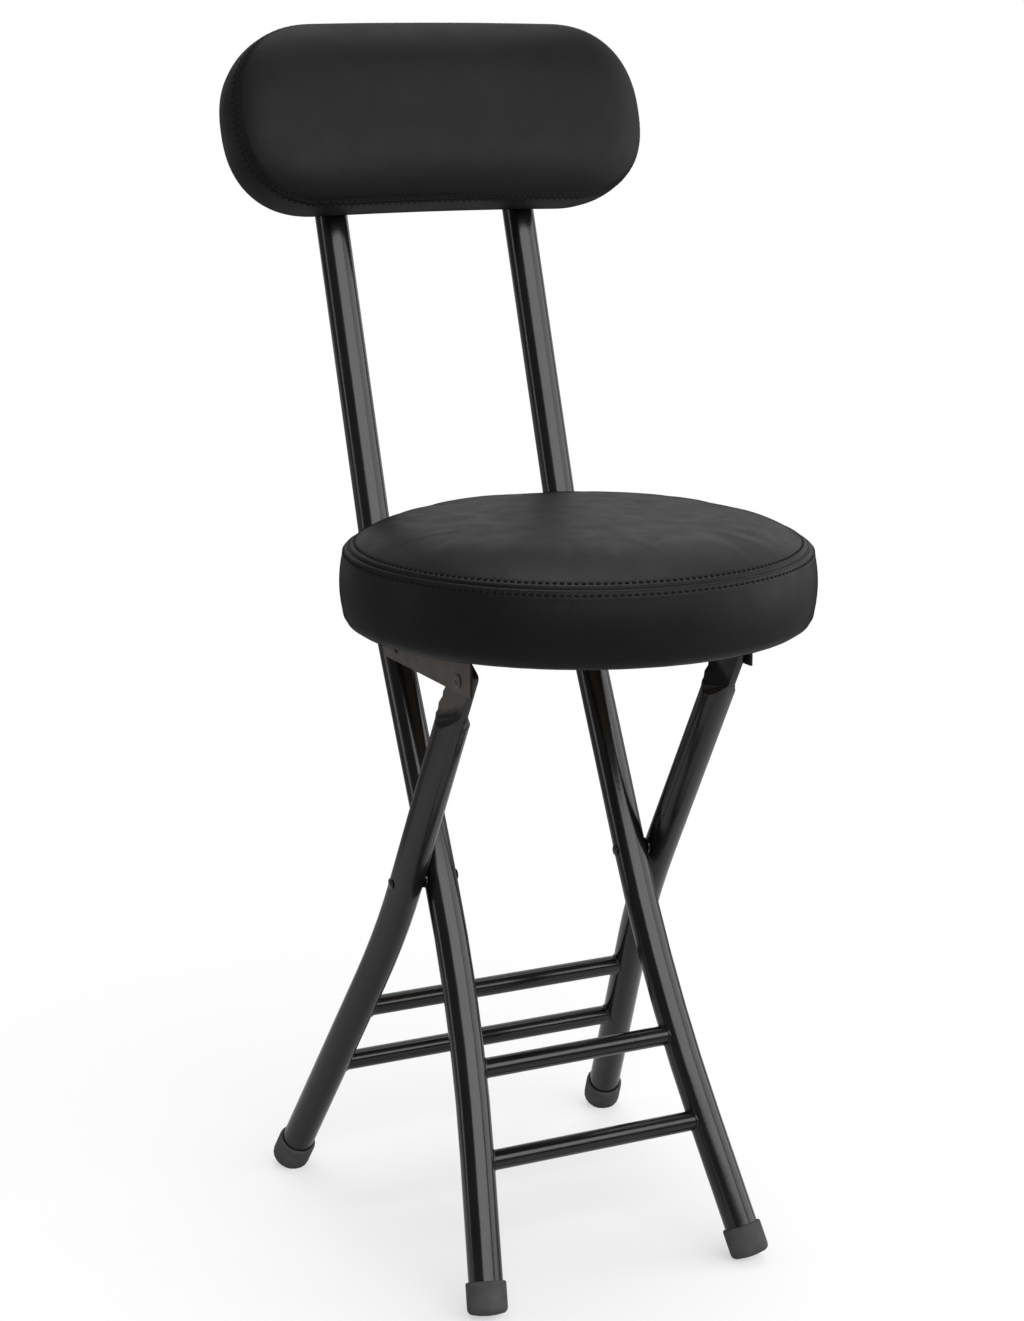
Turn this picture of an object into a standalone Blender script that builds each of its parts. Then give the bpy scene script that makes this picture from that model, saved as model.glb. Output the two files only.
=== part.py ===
"""Folding stool with a round padded seat and a low padded backrest.

Two long bent tubes carry the backrest and end in the front feet.
Two short legs cross them outside, turn on the crossing rivets and end in the rear feet.
Each short leg's upper end is pressed flat and riveted inside a steel side plate under the seat.
A hooked strap on each side plate drops over a rest pin in the long tube and locks the stool open.

Metres, +Z up, the sitter faces -Y, +X is the right side seen from the front.
"""

import math

import bmesh
import bpy
from mathutils import Matrix, Vector

# Clearance between pieces that touch, and between a pin and its hole
FIT_GAP = 0.0003
PIN_CLEARANCE = 0.0003

# Frame tubes
TUBE_RADIUS = 0.011
TUBE_WALL = 0.0012
TUBE_SIDES = 20
BEND_STEPS = 5

# Long tubes, from the front feet to the backrest
LONG_TUBE_X = 0.0703
FRONT_FOOT_X = 0.0962
FRONT_FOOT_Y = -0.0759
FRONT_SPLAY_HEIGHT = 0.166
FRONT_SPLAY_RADIUS = 1.3
SEAT_BEND_Y = 0.1526
SEAT_BEND_HEIGHT = 0.4314
SEAT_BEND_RADIUS = 0.080
UPRIGHT_LEAN = math.radians(19.8)
UPRIGHT_LENGTH = 0.343

# Short legs, from the side plates to the rear feet
CROSSING_WASHER = 0.0012
REAR_SPLAY_Y = 0.0799
REAR_SPLAY_HEIGHT = 0.2045
REAR_SPLAY_RADIUS = 0.70
REAR_FOOT_X = 0.1252
REAR_FOOT_Y = 0.1952
LEG_PIVOT_Y = -0.0323
LEG_PIVOT_HEIGHT = 0.4039

# Pressed flat upper ends of the short legs
FLAT_THICKNESS = 0.005
FLAT_HALF_WIDTH = 0.0142
FLAT_BACK_SHIFT = 0.0018
FLAT_ABOVE_PIVOT = 0.0125
FLAT_CORNER_RADIUS = 0.003
SLOPE_START_BELOW_PIVOT = 0.0205
SLOPE_LENGTH = 0.0160

# Rungs
RUNG_RADIUS = 0.0065
RUNG_WALL = 0.0010
RUNG_SIDES = 16
FRONT_RUNG_HEIGHTS = {"upper": 0.1360, "lower": 0.0849}
REAR_RUNG_HEIGHTS = {"upper": 0.1401, "lower": 0.0914}

# Rubber foot caps
CAP_WALL = 0.0017
CAP_LENGTH = 0.021
CAP_FLOOR = 0.005
CAP_EDGE_RADIUS = 0.004
CAP_DOME_RISE = 0.001
CAP_FLAT_DEPTH = 0.0012
CAP_LIP_BEVEL = 0.0008
CAP_SIDES = 20

# Plugs in the upper ends of the long tubes
PLUG_INSERT = 0.012
PLUG_CROWN = 0.003
PLUG_LEAD = 0.0010

# Crossing rivets and washers
CROSSING_RIVET_RADIUS = 0.0024
CROSSING_HEAD_RADIUS = 0.0036
CROSSING_HEAD_HEIGHT = 0.0007
CROSSING_WASHER_RADIUS = 0.0058

# The seat body turns on its pivots. Its heights are given as if it lay level,
# then all of it leans back by this much when the stool is open
SEAT_LEAN = math.radians(1.28)

# Side plates under the seat
PLATE_THICKNESS = 0.0016
PLATE_FRONT_REACH = 0.0177
PLATE_REAR_Y = 0.082
PLATE_REAR_SLANT = 0.30
PLATE_DROP = 0.0075
PLATE_BEND_RADIUS = 0.003
FLANGE_WIDTH = 0.024
PIVOT_RIVET_RADIUS = 0.003
PIVOT_HEAD_RADIUS = 0.0046
PIVOT_HEAD_HEIGHT = 0.0010
PIVOT_DIMPLE_DEPTH = 0.0007
RIVET_CROWN_SHARE = 0.6
RIVET_RIM_SHARE = 0.35

# Hook straps between the side plates and the long tubes
STRAP_THICKNESS = 0.0022
STRAP_HALF_HEIGHT = 0.0075
STRAP_RIVET_Y = 0.062
STRAP_RIVET_RADIUS = 0.0018
STRAP_RIVET_HEAD_RADIUS = 0.0028
STRAP_RIVET_HEAD_HEIGHT = 0.0008
STRAP_FRONT_REACH = 0.014
STRAP_OFFSET_START = 0.012
STRAP_OFFSET_RUN = 0.014
HOOK_RADIUS = 0.0095
HOOK_NOTCH_ANGLE = math.radians(25.5)
HOOK_NOTCH_CLEARANCE = 0.0004

# Rest pins in the long tubes
REST_PIN_ABOVE_PIVOT = 0.0009
REST_PIN_RADIUS = 0.0035
REST_PIN_HEAD_RADIUS = 0.0055
REST_PIN_HEAD_HEIGHT = 0.002
REST_PIN_PROTRUSION = 0.0045
REST_PIN_CHAMFER = 0.0009

# Seat pad
SEAT_RADIUS = 0.150
SEAT_ABOVE_PIVOT = 0.0227
SEAT_SIDE_HEIGHT = 0.0495
SEAT_CROWN = 0.0155
SEAT_CORNER_RADIUS = 0.0090
SEAT_SIDE_DRAW = 0.0018
SEAT_HEM_WIDTH = 0.022
SEAT_BOARD_THICKNESS = 0.009
SEAT_STEPS = 36

# Backrest pad
BACKREST_WIDTH = 0.299
BACKREST_HEIGHT = 0.1247
BACKREST_END_FULLNESS = 2.3
BACKREST_CENTRE_ALONG = 0.2990
BACKREST_SIDE_HEIGHT = 0.0465
BACKREST_CROWN = 0.007
BACKREST_CORNER_RADIUS = 0.0085
BACKREST_SIDE_DRAW = 0.0015
BACKREST_ARCH = 0.0018
BACKREST_HEM_WIDTH = 0.018
BACKREST_BOARD_THICKNESS = 0.009
BACKREST_ARC_STEPS = 12
BACKREST_STRAIGHT_STEPS = 6

# Upholstery cover
COVER_THICKNESS = 0.0011
BOARD_BEVEL = 0.001
SEAM_DEPTH = 0.0016
SEAM_WIDTH = 0.0030
SEAM_TO_CROWN = 0.003
CROWN_FULLNESS = 4.0

# Screws
FLANGE_SCREW_YS = (-0.024, 0.022, 0.068)
FLANGE_SCREW_RADIUS = 0.002
FLANGE_SCREW_HEAD_RADIUS = 0.0042
FLANGE_SCREW_HEAD_HEIGHT = 0.0022
FLANGE_SCREW_GRIP = 0.006
BACK_SCREW_OFFSET = 0.021
BACK_SCREW_RADIUS = 0.0025
BACK_SCREW_HEAD_RADIUS = 0.0048
BACK_SCREW_HEAD_HEIGHT = 0.0028
BACK_SCREW_GRIP = 0.006

SMALL_SIDES = 12

# Cutters run past what they cut by this much
CUTTER_OVERRUN = 0.02
FLOOR_CUTTER_REACH = 1.0
SIDES = {"left": -1, "right": 1}

# Places that follow from the sizes above
LEG_X = LONG_TUBE_X + 2 * TUBE_RADIUS + CROSSING_WASHER + 2 * FIT_GAP
REST_PIN_HEIGHT = LEG_PIVOT_HEIGHT + REST_PIN_ABOVE_PIVOT
SEAT_BOTTOM_HEIGHT = LEG_PIVOT_HEIGHT + SEAT_ABOVE_PIVOT
PLATE_INNER_X = LEG_X + FLAT_THICKNESS / 2 + FIT_GAP
PLATE_OUTER_X = PLATE_INNER_X + PLATE_THICKNESS
FLANGE_TOP = SEAT_BOTTOM_HEIGHT - FIT_GAP
STRAP_REAR_X = LONG_TUBE_X + TUBE_RADIUS + FIT_GAP + STRAP_THICKNESS / 2
STRAP_FRONT_X = PLATE_INNER_X - FIT_GAP - STRAP_THICKNESS / 2


class Piece:
    """Collects the finished objects, their materials and the bodies they move with."""

    bodies = {}
    materials = {}
    meshes = []


def clear_scene():
    for old in list(bpy.data.objects):
        bpy.data.objects.remove(old, do_unlink=True)


def material(name, colour, roughness, metallic=0.0):
    if name not in Piece.materials:
        made = bpy.data.materials.new(name)
        made.use_nodes = True
        shader = made.node_tree.nodes["Principled BSDF"]
        shader.inputs["Base Color"].default_value = (*colour, 1.0)
        shader.inputs["Roughness"].default_value = roughness
        shader.inputs["Metallic"].default_value = metallic
        made.diffuse_color = (*colour, 1.0)
        Piece.materials[name] = made
    return Piece.materials[name]


def painted_steel():
    return material("painted_steel", (0.012, 0.012, 0.013), 0.28)


def bracket_steel():
    return material("bracket_steel", (0.075, 0.066, 0.060), 0.45, 0.35)


def plated_steel():
    return material("plated_steel", (0.42, 0.41, 0.40), 0.35, 1.0)


def cap_rubber():
    return material("cap_rubber", (0.085, 0.082, 0.080), 0.70)


def black_plastic():
    return material("black_plastic", (0.015, 0.015, 0.015), 0.45)


def cover_leather():
    return material("cover_leather", (0.020, 0.020, 0.021), 0.42)


def foam():
    return material("foam", (0.72, 0.66, 0.45), 0.95)


def plywood():
    return material("plywood", (0.50, 0.34, 0.19), 0.70)


def add_body(name, parent=None, place=(0.0, 0.0, 0.0), lean=0.0):
    """An empty on the axis that everything in this body turns about."""
    empty = bpy.data.objects.new(name, None)
    empty.empty_display_size = 0.03
    empty.rotation_euler.x = -lean
    bpy.context.scene.collection.objects.link(empty)
    if parent:
        empty.parent = Piece.bodies[parent][0]
        empty.location = Vector(place) - Piece.bodies[parent][1]
    else:
        empty.location = place
    Piece.bodies[name] = (empty, Vector(place))


def add_object(name, bm, body, surface, place=(0.0, 0.0, 0.0), turn=None, sharp=math.radians(35)):
    """Turns a bmesh into a named, smoothly shaded object of one body."""
    bmesh.ops.remove_doubles(bm, verts=bm.verts, dist=0.000001)
    bmesh.ops.recalc_face_normals(bm, faces=bm.faces)
    mesh = bpy.data.meshes.new(name)
    bm.to_mesh(mesh)
    bm.free()
    mesh.shade_smooth()
    mesh.set_sharp_from_angle(angle=sharp)
    made = bpy.data.objects.new(name, mesh)
    bpy.context.scene.collection.objects.link(made)
    empty, origin = Piece.bodies[body]
    made.parent = empty
    made.location = Vector(place) - origin
    if turn is not None:
        made.rotation_euler = turn.to_euler()
    if surface:
        mesh.materials.append(surface)
        Piece.meshes.append(made)
    return made


def add_cutter(name, bm, body, place=(0.0, 0.0, 0.0), turn=None):
    made = add_object(name, bm, body, None, place, turn)
    made.hide_render = True
    made.display_type = "WIRE"
    return made


def cut(target, cutter, operation="DIFFERENCE"):
    step = target.modifiers.new(cutter.name, "BOOLEAN")
    step.operation = operation
    step.solver = "EXACT"
    step.object = cutter


def rounded_path(corners, radii, steps=BEND_STEPS):
    """The points of a bent tube's axis, with an arc in place of each inner corner."""
    points = [Vector(corners[0])]
    for before, corner, after, radius in zip(corners, corners[1:], corners[2:], radii):
        corner = Vector(corner)
        back = (Vector(before) - corner).normalized()
        ahead = (Vector(after) - corner).normalized()
        turn = math.pi - back.angle(ahead)
        trim = radius * math.tan(turn / 2)
        centre = corner + (back + ahead).normalized() * (radius / math.cos(turn / 2))
        start = corner + back * trim - centre
        axis = start.cross(corner + ahead * trim - centre).normalized()
        for step in range(steps + 1):
            points.append(centre + Matrix.Rotation(turn * step / steps, 3, axis) @ start)
    points.append(Vector(corners[-1]))
    return points


def section_frames(points):
    """For each point of a path: the point, its sideways and its front-back direction."""
    frames = []
    for index, point in enumerate(points):
        before = points[max(index - 1, 0)]
        after = points[min(index + 1, len(points) - 1)]
        along = (after - before).normalized()
        across = Vector((1, 0, 0)).cross(along).normalized()
        frames.append((point, along.cross(across).normalized(), across))
    return frames


def round_ring(bm, frame, radius):
    return pressed_ring(bm, frame, radius, radius, radius)


def pressed_ring(bm, frame, radius, half_thickness, half_width):
    """One ring of a tube pressed level on two sides and spread to a width."""
    point, sideways, across = frame
    ring = []
    for index in range(TUBE_SIDES):
        angle = 2 * math.pi * index / TUBE_SIDES
        thick = max(-half_thickness, min(half_thickness, radius * math.sin(angle)))
        ring.append(bm.verts.new(point + across * half_width * math.cos(angle) + sideways * thick))
    return ring


def join_rings(bm, first, second):
    count = len(first)
    for index in range(count):
        following = (index + 1) % count
        bm.faces.new((first[index], first[following], second[following], second[index]))


def join_all(bm, rings):
    for first, second in zip(rings, rings[1:]):
        join_rings(bm, first, second)


def round_rings(bm, points, radius):
    rings = [round_ring(bm, frame, radius) for frame in section_frames(points)]
    join_all(bm, rings)
    return rings


def tube_mesh(points):
    """A round tube along a path, open at both ends."""
    bm = bmesh.new()
    outer = round_rings(bm, points, TUBE_RADIUS)
    inner = round_rings(bm, points, TUBE_RADIUS - TUBE_WALL)
    join_rings(bm, outer[0], inner[0])
    join_rings(bm, outer[-1], inner[-1])
    return bm


def rod_mesh(points, radius):
    bm = bmesh.new()
    rings = round_rings(bm, points, radius)
    bm.faces.new(rings[0])
    bm.faces.new(rings[-1])
    return bm


def revolve_mesh(profile, sides):
    """A solid of revolution about +Z from (radius, height) points, poles at radius 0."""
    bm = bmesh.new()
    rings = []
    for radius, height in profile:
        if radius == 0:
            rings.append(bm.verts.new((0, 0, height)))
            continue
        angles = [2 * math.pi * index / sides for index in range(sides)]
        ring = [bm.verts.new((radius * math.cos(a), radius * math.sin(a), height)) for a in angles]
        rings.append(ring)
    pairs = list(zip(rings, rings[1:]))
    if isinstance(rings[0], list) and isinstance(rings[-1], list):
        pairs.append((rings[-1], rings[0]))
    for first, second in pairs:
        if isinstance(first, list) and isinstance(second, list):
            join_rings(bm, first, second)
            continue
        pole, ring = (second, first) if isinstance(first, list) else (first, second)
        for index in range(sides):
            bm.faces.new((pole, ring[index], ring[(index + 1) % sides]))
    return bm


def prism_mesh(outline, axis, low, high):
    """A closed prism: a flat outline extruded along X or Z between two values."""
    bm = bmesh.new()
    rings = []
    for level in (low, high):
        corners = [(level, a, b) if axis == "X" else (a, b, level) for a, b in outline]
        rings.append([bm.verts.new(corner) for corner in corners])
    join_all(bm, rings)
    bm.faces.new(rings[0])
    bm.faces.new(rings[1])
    return bm


def arc(centre, radius, start, end, steps):
    """Points of an arc in a plane, angles in radians."""
    points = []
    for step in range(steps + 1):
        angle = start + (end - start) * step / steps
        points.append((centre[0] + radius * math.cos(angle), centre[1] + radius * math.sin(angle)))
    return points


def along_x(side):
    """Turns a piece made along +Z so that it points outwards along X."""
    return Matrix.Rotation(side * math.pi / 2, 3, "Y")


def hole_cutter(name, radius, low, high, body, place, turn):
    """A cylinder cutter along its own Z from low to high."""
    profile = [(0, low), (radius, low), (radius, high), (0, high)]
    return add_cutter(name, revolve_mesh(profile, SMALL_SIDES), body, place, turn)


def at_height(low, high, height):
    """The point of a straight stretch at one height."""
    return low.lerp(high, (height - low.z) / (high.z - low.z))


def path_at_height(path, height):
    """The first point of a rising path that lies at a height."""
    for low, high in zip(path, path[1:]):
        if low.z <= height <= high.z:
            return at_height(low, high, height)
    return at_height(path[-2], path[-1], height)


def upright_direction():
    return Vector((0, math.sin(UPRIGHT_LEAN), math.cos(UPRIGHT_LEAN)))


def backrest_normal():
    """The direction that the backrest's padded face looks in."""
    return Vector((0, -math.cos(UPRIGHT_LEAN), math.sin(UPRIGHT_LEAN)))


def long_tube_corners(side):
    """Front foot on the floor, splay bend, seat bend and upper end of a long tube's axis."""
    seat_bend = Vector((side * LONG_TUBE_X, SEAT_BEND_Y, SEAT_BEND_HEIGHT))
    share = FRONT_SPLAY_HEIGHT / SEAT_BEND_HEIGHT
    splay_y = FRONT_FOOT_Y + (SEAT_BEND_Y - FRONT_FOOT_Y) * share
    splay = Vector((side * LONG_TUBE_X, splay_y, FRONT_SPLAY_HEIGHT))
    foot = Vector((side * FRONT_FOOT_X, FRONT_FOOT_Y, 0))
    return [foot, splay, seat_bend, seat_bend + upright_direction() * UPRIGHT_LENGTH]


def leg_corners(side):
    """Rear foot on the floor, splay bend and seat pivot of a short leg's axis."""
    foot = Vector((side * REAR_FOOT_X, REAR_FOOT_Y, 0))
    splay = Vector((side * LEG_X, REAR_SPLAY_Y, REAR_SPLAY_HEIGHT))
    pivot = Vector((side * LEG_X, LEG_PIVOT_Y, LEG_PIVOT_HEIGHT))
    return [foot, splay, pivot]


def long_tube_path(side, corners=None):
    return rounded_path(corners or long_tube_corners(side), (FRONT_SPLAY_RADIUS, SEAT_BEND_RADIUS))


def leg_path(side, corners=None):
    return rounded_path(corners or leg_corners(side), (REAR_SPLAY_RADIUS,))


def crossing_point():
    """Where the two tube axes cross in the side view."""
    _, low, high, _ = long_tube_corners(1)
    _, splay, pivot = leg_corners(1)
    long_slope = (high.y - low.y) / (high.z - low.z)
    leg_slope = (pivot.y - splay.y) / (pivot.z - splay.z)
    height = (low.y - long_slope * low.z - splay.y + leg_slope * splay.z) / (leg_slope - long_slope)
    return Vector((0, low.y + long_slope * (height - low.z), height))


def rest_pin_point():
    """Where the rest pins' axis crosses the middle plane of the stool."""
    pin = path_at_height(long_tube_path(1), REST_PIN_HEIGHT)
    return Vector((0, pin.y, pin.z))


def hook_point():
    """The rest pins' axis as the seat sees it, before the seat is leaned back."""
    pivot = Vector((0, LEG_PIVOT_Y, LEG_PIVOT_HEIGHT))
    return pivot + Matrix.Rotation(SEAT_LEAN, 3, "X") @ (rest_pin_point() - pivot)


def cap_profile():
    """Outside of a foot cap from its base centre up, then its bore back to the axis."""
    outer = TUBE_RADIUS + FIT_GAP + CAP_WALL
    bore = TUBE_RADIUS + FIT_GAP
    base_radius = outer - CAP_EDGE_RADIUS
    points = [(share * base_radius, share * share * CAP_DOME_RISE) for share in (0, 0.6)]
    edge_centre = (base_radius, CAP_DOME_RISE + CAP_EDGE_RADIUS)
    points += arc(edge_centre, CAP_EDGE_RADIUS, -math.pi / 2, 0, 4)
    points += [(outer, CAP_LENGTH - CAP_LIP_BEVEL), (outer - CAP_LIP_BEVEL, CAP_LENGTH), (bore, CAP_LENGTH)]
    points += [(bore, CAP_FLOOR), (0, CAP_FLOOR)]
    return points


def cap_base(foot, direction):
    """Where a cap's base centre lies on the tube's axis so that its rim rests on the floor."""
    cosine = direction.z
    sine = math.sqrt(1 - cosine * cosine)
    lowest = min(height * cosine - radius * sine for radius, height in cap_profile())
    return Vector(foot) + direction * ((-CAP_FLAT_DEPTH - lowest) / cosine)


def tube_end(foot, direction):
    """The tube's lower end, seated on the floor of its cap."""
    return cap_base(foot, direction) + direction * (CAP_FLOOR + FIT_GAP)


def build_foot_cap(name, body, foot, above, floor):
    direction = (Vector(above) - Vector(foot)).normalized()
    turn = Vector((0, 0, 1)).rotation_difference(direction).to_matrix()
    cap = add_object(name, revolve_mesh(cap_profile(), CAP_SIDES), body, cap_rubber(),
                     cap_base(foot, direction), turn)
    cut(cap, floor)


def rivet_head(radius, height):
    """Half outline of a domed head as (radius, rise), from its seat to its flat crown."""
    return [(radius, 0), (radius, height * RIVET_RIM_SHARE), (radius * RIVET_CROWN_SHARE, height)]


def rivet_profile(radius, head_radius, head_height, low, high, dimple=0.0):
    """A rivet along Z between two seating planes, with a domed head past each plane."""
    head = rivet_head(head_radius, head_height)
    points = [(0, low - head_height)]
    points += [(reach, low - rise) for reach, rise in reversed(head)]
    points += [(radius, low), (radius, high)]
    points += [(reach, high + rise) for reach, rise in head]
    if dimple:
        rim = head_radius * RIVET_CROWN_SHARE * 0.8
        points += [(rim, high + head_height), (rim - dimple, high + head_height - dimple)]
    return points + [(0, high + head_height - dimple)]


def build_long_tube(name, side, drills):
    corners = long_tube_corners(side)
    direction = (corners[1] - corners[0]).normalized()
    corners[0] = tube_end(corners[0], direction)
    bm = tube_mesh(long_tube_path(side, corners))
    tube = add_object(f"upright_{name}", bm, "back_frame", painted_steel())
    for drill in drills:
        cut(tube, drill)


def flat_end_sections():
    """A short leg's upper end from its tip down: (depth, half thickness, half width, backward shift)."""
    half = FLAT_THICKNESS / 2
    sections = []
    for turn in (0, math.pi / 4, math.pi / 2):
        depth = FLAT_CORNER_RADIUS * (1 - math.cos(turn))
        width = FLAT_HALF_WIDTH - FLAT_CORNER_RADIUS * (1 - math.sin(turn))
        sections.append((depth, half, width, FLAT_BACK_SHIFT))
    slope_start = FLAT_ABOVE_PIVOT + SLOPE_START_BELOW_PIVOT
    levels = [TUBE_RADIUS * math.sin(2 * math.pi * step / TUBE_SIDES) for step in range(TUBE_SIDES // 4 + 1)]
    for thickness in [half] + [level for level in levels if level > half]:
        share = (thickness - half) / (TUBE_RADIUS - half)
        width = FLAT_HALF_WIDTH + (TUBE_RADIUS - FLAT_HALF_WIDTH) * share
        sections.append((slope_start + SLOPE_LENGTH * share, thickness, width, FLAT_BACK_SHIFT * (1 - share)))
    return sections


def leg_mesh(side):
    """A short leg: pressed flat end, slope, round tube with a splay bend, open at the foot."""
    foot, splay, pivot = leg_corners(side)
    foot = tube_end(foot, (splay - foot).normalized())
    upward = (pivot - splay).normalized()
    tip = pivot + upward * FLAT_ABOVE_PIVOT
    sideways = Vector((1, 0, 0))
    across = sideways.cross(-upward).normalized()
    bm = bmesh.new()
    sections = flat_end_sections()
    rings = []
    for depth, thickness, width, shift in sections:
        frame = (tip - upward * depth + across * shift, sideways, across)
        rings.append(pressed_ring(bm, frame, TUBE_RADIUS, thickness, width))
    round_start = tip - upward * sections[-1][0]
    frames = section_frames(leg_path(side, [round_start, splay, foot]))
    rings += [round_ring(bm, frame, TUBE_RADIUS) for frame in frames[1:]]
    join_all(bm, rings)
    bm.faces.new(rings[0])
    blind_end = (round_start - upward * TUBE_RADIUS, sideways, across)
    bore = TUBE_RADIUS - TUBE_WALL
    inner = [round_ring(bm, frame, bore) for frame in [blind_end] + frames[1:]]
    join_all(bm, inner)
    bm.faces.new(inner[0])
    join_rings(bm, rings[-1], inner[-1])
    return bm


def build_leg(name, side, drills):
    leg = add_object(f"leg_{name}", leg_mesh(side), "leg_frame", painted_steel())
    for drill in drills:
        cut(leg, drill)


def build_rung(name, body, path, height):
    """A cross tube whose ends are coped to the two tubes that it is welded to."""
    end = path_at_height(path(1), height)
    place = Vector((0, end.y, end.z))
    bore = RUNG_RADIUS - RUNG_WALL
    profile = [(bore, -end.x), (RUNG_RADIUS, -end.x), (RUNG_RADIUS, end.x), (bore, end.x)]
    rung = add_object(name, revolve_mesh(profile, RUNG_SIDES), body, painted_steel(), place, along_x(1))
    for side_name, side in SIDES.items():
        bm = rod_mesh(path(side), TUBE_RADIUS + FIT_GAP)
        cut(rung, add_cutter(f"cope_{name}_{side_name}", bm, body))


def build_plug(name, side):
    """A plastic plug in a long tube's upper end: a ribless insert under a domed crown."""
    top = long_tube_corners(side)[3]
    insert = TUBE_RADIUS - TUBE_WALL - FIT_GAP
    profile = [(0, -PLUG_INSERT), (insert - PLUG_LEAD, -PLUG_INSERT), (insert, PLUG_LEAD - PLUG_INSERT)]
    profile += [(insert, FIT_GAP)]
    for turn in (0, math.pi / 6, math.pi / 3, math.pi / 2):
        profile.append((TUBE_RADIUS * math.cos(turn), FIT_GAP + PLUG_CROWN * math.sin(turn)))
    profile[-1] = (0, FIT_GAP + PLUG_CROWN)
    upward = Matrix.Rotation(-UPRIGHT_LEAN, 3, "X")
    bm = revolve_mesh(profile, TUBE_SIDES)
    add_object(f"upright_plug_{name}", bm, "back_frame", black_plastic(), top, upward)


def build_crossing(name, side):
    """The rivet and washer that join a short leg to a long tube where they cross."""
    centre = crossing_point()
    turn = along_x(side)
    low = LONG_TUBE_X - TUBE_RADIUS - FIT_GAP
    high = LEG_X + TUBE_RADIUS + FIT_GAP
    profile = rivet_profile(CROSSING_RIVET_RADIUS, CROSSING_HEAD_RADIUS, CROSSING_HEAD_HEIGHT, low, high)
    add_object(f"crossing_rivet_{name}", revolve_mesh(profile, SMALL_SIDES), "back_frame", painted_steel(),
               centre, turn)
    start = LONG_TUBE_X + TUBE_RADIUS + FIT_GAP
    hole = CROSSING_RIVET_RADIUS + PIN_CLEARANCE
    washer = [(hole, start), (CROSSING_WASHER_RADIUS, start)]
    washer += [(CROSSING_WASHER_RADIUS, start + CROSSING_WASHER), (hole, start + CROSSING_WASHER)]
    add_object(f"crossing_washer_{name}", revolve_mesh(washer, SMALL_SIDES), "back_frame", plated_steel(),
               centre, turn)


def build_rest_pin(name, side):
    """The pin through a long tube that the hook strap drops over: head inside, stub outside."""
    low = LONG_TUBE_X - TUBE_RADIUS - FIT_GAP
    tip = LONG_TUBE_X + TUBE_RADIUS + REST_PIN_PROTRUSION
    profile = [(0, low - REST_PIN_HEAD_HEIGHT)]
    head = rivet_head(REST_PIN_HEAD_RADIUS, REST_PIN_HEAD_HEIGHT)
    profile += [(reach, low - rise) for reach, rise in reversed(head)]
    profile += [(REST_PIN_RADIUS, low), (REST_PIN_RADIUS, tip - REST_PIN_CHAMFER)]
    profile += [(REST_PIN_RADIUS - REST_PIN_CHAMFER, tip), (0, tip)]
    add_object(f"rest_pin_{name}", revolve_mesh(profile, SMALL_SIDES), "back_frame", plated_steel(),
               rest_pin_point(), along_x(side))


def plate_section(side):
    """Side plate section in X and Z: an upright wall and a flange bent inwards on top."""
    low = LEG_PIVOT_HEIGHT - PLATE_DROP
    outer = PLATE_BEND_RADIUS
    inner = PLATE_BEND_RADIUS - PLATE_THICKNESS
    centre = (PLATE_OUTER_X - outer, FLANGE_TOP - outer)
    flange_edge = PLATE_OUTER_X - FLANGE_WIDTH
    points = [(PLATE_OUTER_X, low)]
    points += arc(centre, outer, 0, math.pi / 2, 4)
    points += [(flange_edge, FLANGE_TOP), (flange_edge, FLANGE_TOP - PLATE_THICKNESS)]
    points += arc(centre, inner, math.pi / 2, 0, 3)
    points += [(PLATE_INNER_X, low)]
    return [(side * x, z) for x, z in points]


def build_side_plate(name, side, drills):
    """A pressed side plate: its front edge is square, its rear end slants up and back."""
    front = LEG_PIVOT_Y - PLATE_FRONT_REACH
    low = LEG_PIVOT_HEIGHT - PLATE_DROP
    bm = bmesh.new()
    rings = [[], []]
    for x, z in plate_section(side):
        rings[0].append(bm.verts.new((x, front, z)))
        rings[1].append(bm.verts.new((x, PLATE_REAR_Y + (z - low) * PLATE_REAR_SLANT, z)))
    join_all(bm, rings)
    bm.faces.new(rings[0])
    bm.faces.new(rings[1])
    plate = add_object(f"bracket_{name}", bm, "seat", bracket_steel())
    for drill in drills:
        cut(plate, drill)


def strap_plan(side):
    """Plan of the hook strap in X and Y: a flat on the side plate, an offset, a flat on the tube."""
    half = STRAP_THICKNESS / 2
    front = STRAP_RIVET_Y - STRAP_FRONT_REACH
    bend = STRAP_RIVET_Y + STRAP_OFFSET_START
    bend_end = bend + STRAP_OFFSET_RUN
    rear = hook_point().y + 2 * HOOK_RADIUS
    slope = math.atan2(STRAP_FRONT_X - STRAP_REAR_X, STRAP_OFFSET_RUN)
    mitre = half * math.tan(slope / 2)
    outer = [(STRAP_FRONT_X + half, front), (STRAP_FRONT_X + half, bend + mitre)]
    outer += [(STRAP_REAR_X + half, bend_end + mitre), (STRAP_REAR_X + half, rear)]
    inner = [(STRAP_REAR_X - half, rear), (STRAP_REAR_X - half, bend_end - mitre)]
    inner += [(STRAP_FRONT_X - half, bend - mitre), (STRAP_FRONT_X - half, front)]
    return [(side * x, y) for x, y in outer + inner]


def strap_side_outline():
    """Side view of the hook strap in Y and Z: round ends about its rivet and the rest pin."""
    hook = hook_point()
    front = (STRAP_RIVET_Y, LEG_PIVOT_HEIGHT)
    rear = (hook.y, hook.z)
    tilt = math.atan2(rear[1] - front[1], rear[0] - front[0])
    lean = math.asin((HOOK_RADIUS - STRAP_HALF_HEIGHT) / math.dist(front, rear))
    top = math.pi / 2 + tilt + lean
    bottom = -math.pi / 2 + tilt - lean
    rear_end = arc(rear, HOOK_RADIUS, bottom, top, 10)
    return rear_end + arc(front, STRAP_HALF_HEIGHT, top, bottom + 2 * math.pi, 8)


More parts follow.
